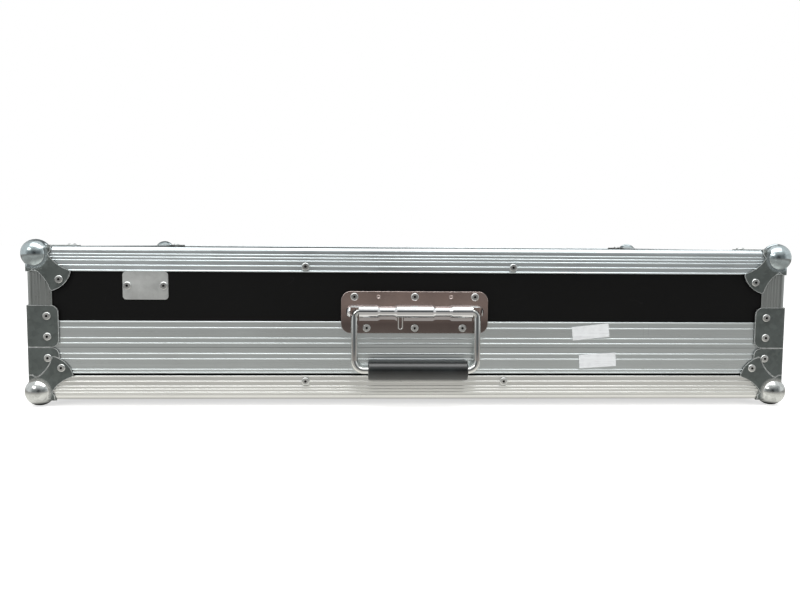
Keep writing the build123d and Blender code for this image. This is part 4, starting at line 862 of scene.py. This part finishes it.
plastic = finish_material(
    "black packer", PACKER_BLACK, 0.0, PACKER_ROUGHNESS, mould_height, PACKER_GRAIN_DEPTH
)
rubber = finish_material(
    "grip rubber",
    rubber_colour,
    0.0,
    GRIP_ROUGHNESS,
    mould_height,
    GRIP_GRAIN_DEPTH,
    specular=GRIP_SPECULAR,
)
plate = polished("handle plate steel", PLATE_STEEL, PLATE_ROUGHNESS, PLATE_STAIN, PLATE_PAINTED_SHADE, PLATE_ROUNDING)
dress("handle_plate", plate)
dress("handle_saddle", polished("saddle chrome", CHROME, SADDLE_ROUGHNESS, stain=0.05))
dress("handle_bail", polished("bail chrome", BAIL_CHROME, BAIL_ROUGHNESS, stain=0.04))
dress("handle_spring", polished("spring steel", SPRING_STEEL, SPRING_ROUGHNESS, stain=0.10))
dress("handle_packer", plastic)
dress("handle_grip", rubber)

# Blank plate.
# Stamped satin metal, rivetted to the lid at both ends, with nothing on it.
BADGE_METAL = (0.84, 0.86, 0.85, 1)
BADGE_ROUGHNESS = (0.34, 0.46)
dress("badge_plate", pressed_steel("blank plate metal", BADGE_METAL, BADGE_ROUGHNESS, mottle=0.04, wear_and_highlight=0.6))

# Blank labels.
# White paper stuck over the ribs of the rims, rubbed and a little grey from handling.
PAPER_WHITE = (0.88, 0.90, 0.91, 1)
PAPER_GREY = (0.60, 0.61, 0.62, 1)
PAPER_ROUGHNESS = 0.62
PAPER_DEPTH = 0.0002
RUBBED_RIBS_STRETCH = (8.0, 8.0, 420.0)
RUBBED_RIBS = (1.0, 2.0)
RUBBED_RIBS_RANGE = (0.45, 0.7)
RUBBED_RIBS_LEVEL = (0.1, 0.7)
RUBBED_PATCHES = (120.0, 6.0)
PAPER_GRAIN_STRETCH = (20.0, 20.0, 300.0)
PAPER_GRAIN = (1.0, 4.0)


def paper_colour(tree, position):
    """White, rubbed grey in patches and along the ribs beneath."""
    ribs = stretched(tree, position, RUBBED_RIBS_STRETCH)
    lines = clouds(tree, ribs, RUBBED_RIBS, *RUBBED_RIBS_LEVEL, RUBBED_RIBS_RANGE)
    rubbed = times(tree, lines, clouds(tree, position, RUBBED_PATCHES, spread=PATCH_RANGE))
    return blend_colour(tree, rubbed, PAPER_WHITE, PAPER_GREY)


def paper_height(tree, position):
    """Paper grain over the ribs."""
    return noise(tree, stretched(tree, position, PAPER_GRAIN_STRETCH), *PAPER_GRAIN)


paper = finish_material("label paper", paper_colour, 0.0, PAPER_ROUGHNESS, paper_height, PAPER_DEPTH)
for half in ("lid", "base"):
    dress(half + "_label", paper)

# Hinges and latches.
# Zinc plated butt hinges along the rear and, in each end, a pressed dish with a turn latch:
# the rotor carries two bright wings and draws the hook under the strike bar.
HINGE_STEEL = (0.50, 0.51, 0.505, 1)
HINGE_ROUGHNESS = (0.28, 0.40)
DISH_STEEL = (0.48, 0.50, 0.50, 1)
DISH_ROUGHNESS = (0.24, 0.36)
ROTOR_ROUGHNESS = (0.22, 0.34)
WING_ROUGHNESS = (0.06, 0.14)
hinge_steel = pressed_steel("hinge steel", HINGE_STEEL, HINGE_ROUGHNESS, mottle=0.06)
dish_steel = pressed_steel("latch dish steel", DISH_STEEL, DISH_ROUGHNESS, mottle=0.06)
works_steel = pressed_steel("latch rotor steel", HINGE_STEEL, ROTOR_ROUGHNESS, mottle=0.04)
wing_chrome = polished("latch wing chrome", CHROME, WING_ROUGHNESS, stain=0.05)
for node in ("hinge_base_leaves", "hinge_lid_leaves", "hinge_pins"):
    dress(node, hinge_steel)
for end in ("left", "right"):
    for part in ("dish", "strike"):
        dress("latch_" + part + "_" + end, dish_steel)
    for part in ("rotor", "hook"):
        dress("latch_" + part + "_" + end, works_steel)
    for part in ("wing_front", "wing_rear"):
        dress("latch_" + part + "_" + end, wing_chrome)

# Foam lining.
# Charcoal open-cell foam cut from sheet and glued in: strips round the walls with pockets for the latches'
# dishes, and a pad between them. The edges of the blocks are soft.
FOAM_CHARCOAL = (0.020, 0.020, 0.022, 1)
FOAM_DUSTY = (0.060, 0.060, 0.062, 1)
FOAM_DUST = (12.0, 4.0)
FOAM_DUST_LEVEL = (0.3, 1.0)
FOAM_CELLS = 520.0
FOAM_TIPS = (0.2, 0.7)
FOAM_DEPTH = 0.0006
FOAM_ROUGHNESS = 0.92
FOAM_SPECULAR = 0.2
FOAM_EDGE = 0.0022
FOAM_EDGE_STEPS = 3
FOAM_EDGE_ANGLE = math.radians(40)
FOAM_SMOOTH_ANGLE = math.radians(35)
FOAM_FLAT_ANGLE = math.radians(1)


def foam_height(tree, position):
    """Open cells."""
    cells = put(tree, "TexVoronoi", {"Vector": position, "Scale": FOAM_CELLS}, feature="F1")
    return cells.outputs["Distance"]


def foam_colour(tree, position):
    """Charcoal with dusty tips."""
    tips = ramp(tree, foam_height(tree, position), *FOAM_TIPS)
    pale = times(tree, tips, clouds(tree, position, FOAM_DUST, *FOAM_DUST_LEVEL, PATCH_RANGE))
    return blend_colour(tree, pale, FOAM_CHARCOAL, FOAM_DUSTY)


foam = finish_material(
    "charcoal foam",
    foam_colour,
    0.0,
    FOAM_ROUGHNESS,
    foam_height,
    FOAM_DEPTH,
    specular=FOAM_SPECULAR,
)


def foam_piece(half):
    """The lining of one half, from a copy of its plain solids, which gets soft edges."""
    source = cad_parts[half + "_foam_lining"]
    lining = source.copy()
    lining.data = source.data.copy()
    for key in list(lining.keys()):
        del lining[key]
    lining.parent = None
    lining.name = half + "_foam"
    scene.collection.objects.link(lining)
    bpy.ops.object.select_all(action="DESELECT")
    lining.select_set(True)
    bpy.context.view_layer.objects.active = lining
    bpy.ops.object.mode_set(mode="EDIT")
    bpy.ops.mesh.select_all(action="SELECT")
    bpy.ops.mesh.remove_doubles(threshold=SAME_PLACE)
    bpy.ops.mesh.customdata_custom_splitnormals_clear()
    bpy.ops.mesh.dissolve_limited(angle_limit=FOAM_FLAT_ANGLE)
    bpy.ops.object.mode_set(mode="OBJECT")
    soft = lining.modifiers.new("soft edges", "BEVEL")
    soft.width = FOAM_EDGE
    soft.segments = FOAM_EDGE_STEPS
    soft.limit_method = "ANGLE"
    soft.angle_limit = FOAM_EDGE_ANGLE
    bpy.ops.object.modifier_apply(modifier=soft.name)
    bpy.ops.object.shade_smooth_by_angle(angle=FOAM_SMOOTH_ANGLE)
    lining.data.materials.clear()
    lining.data.materials.append(foam)
    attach(lining, half)
    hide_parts(half + "_foam_lining")


for half in ("base", "lid"):
    foam_piece(half)
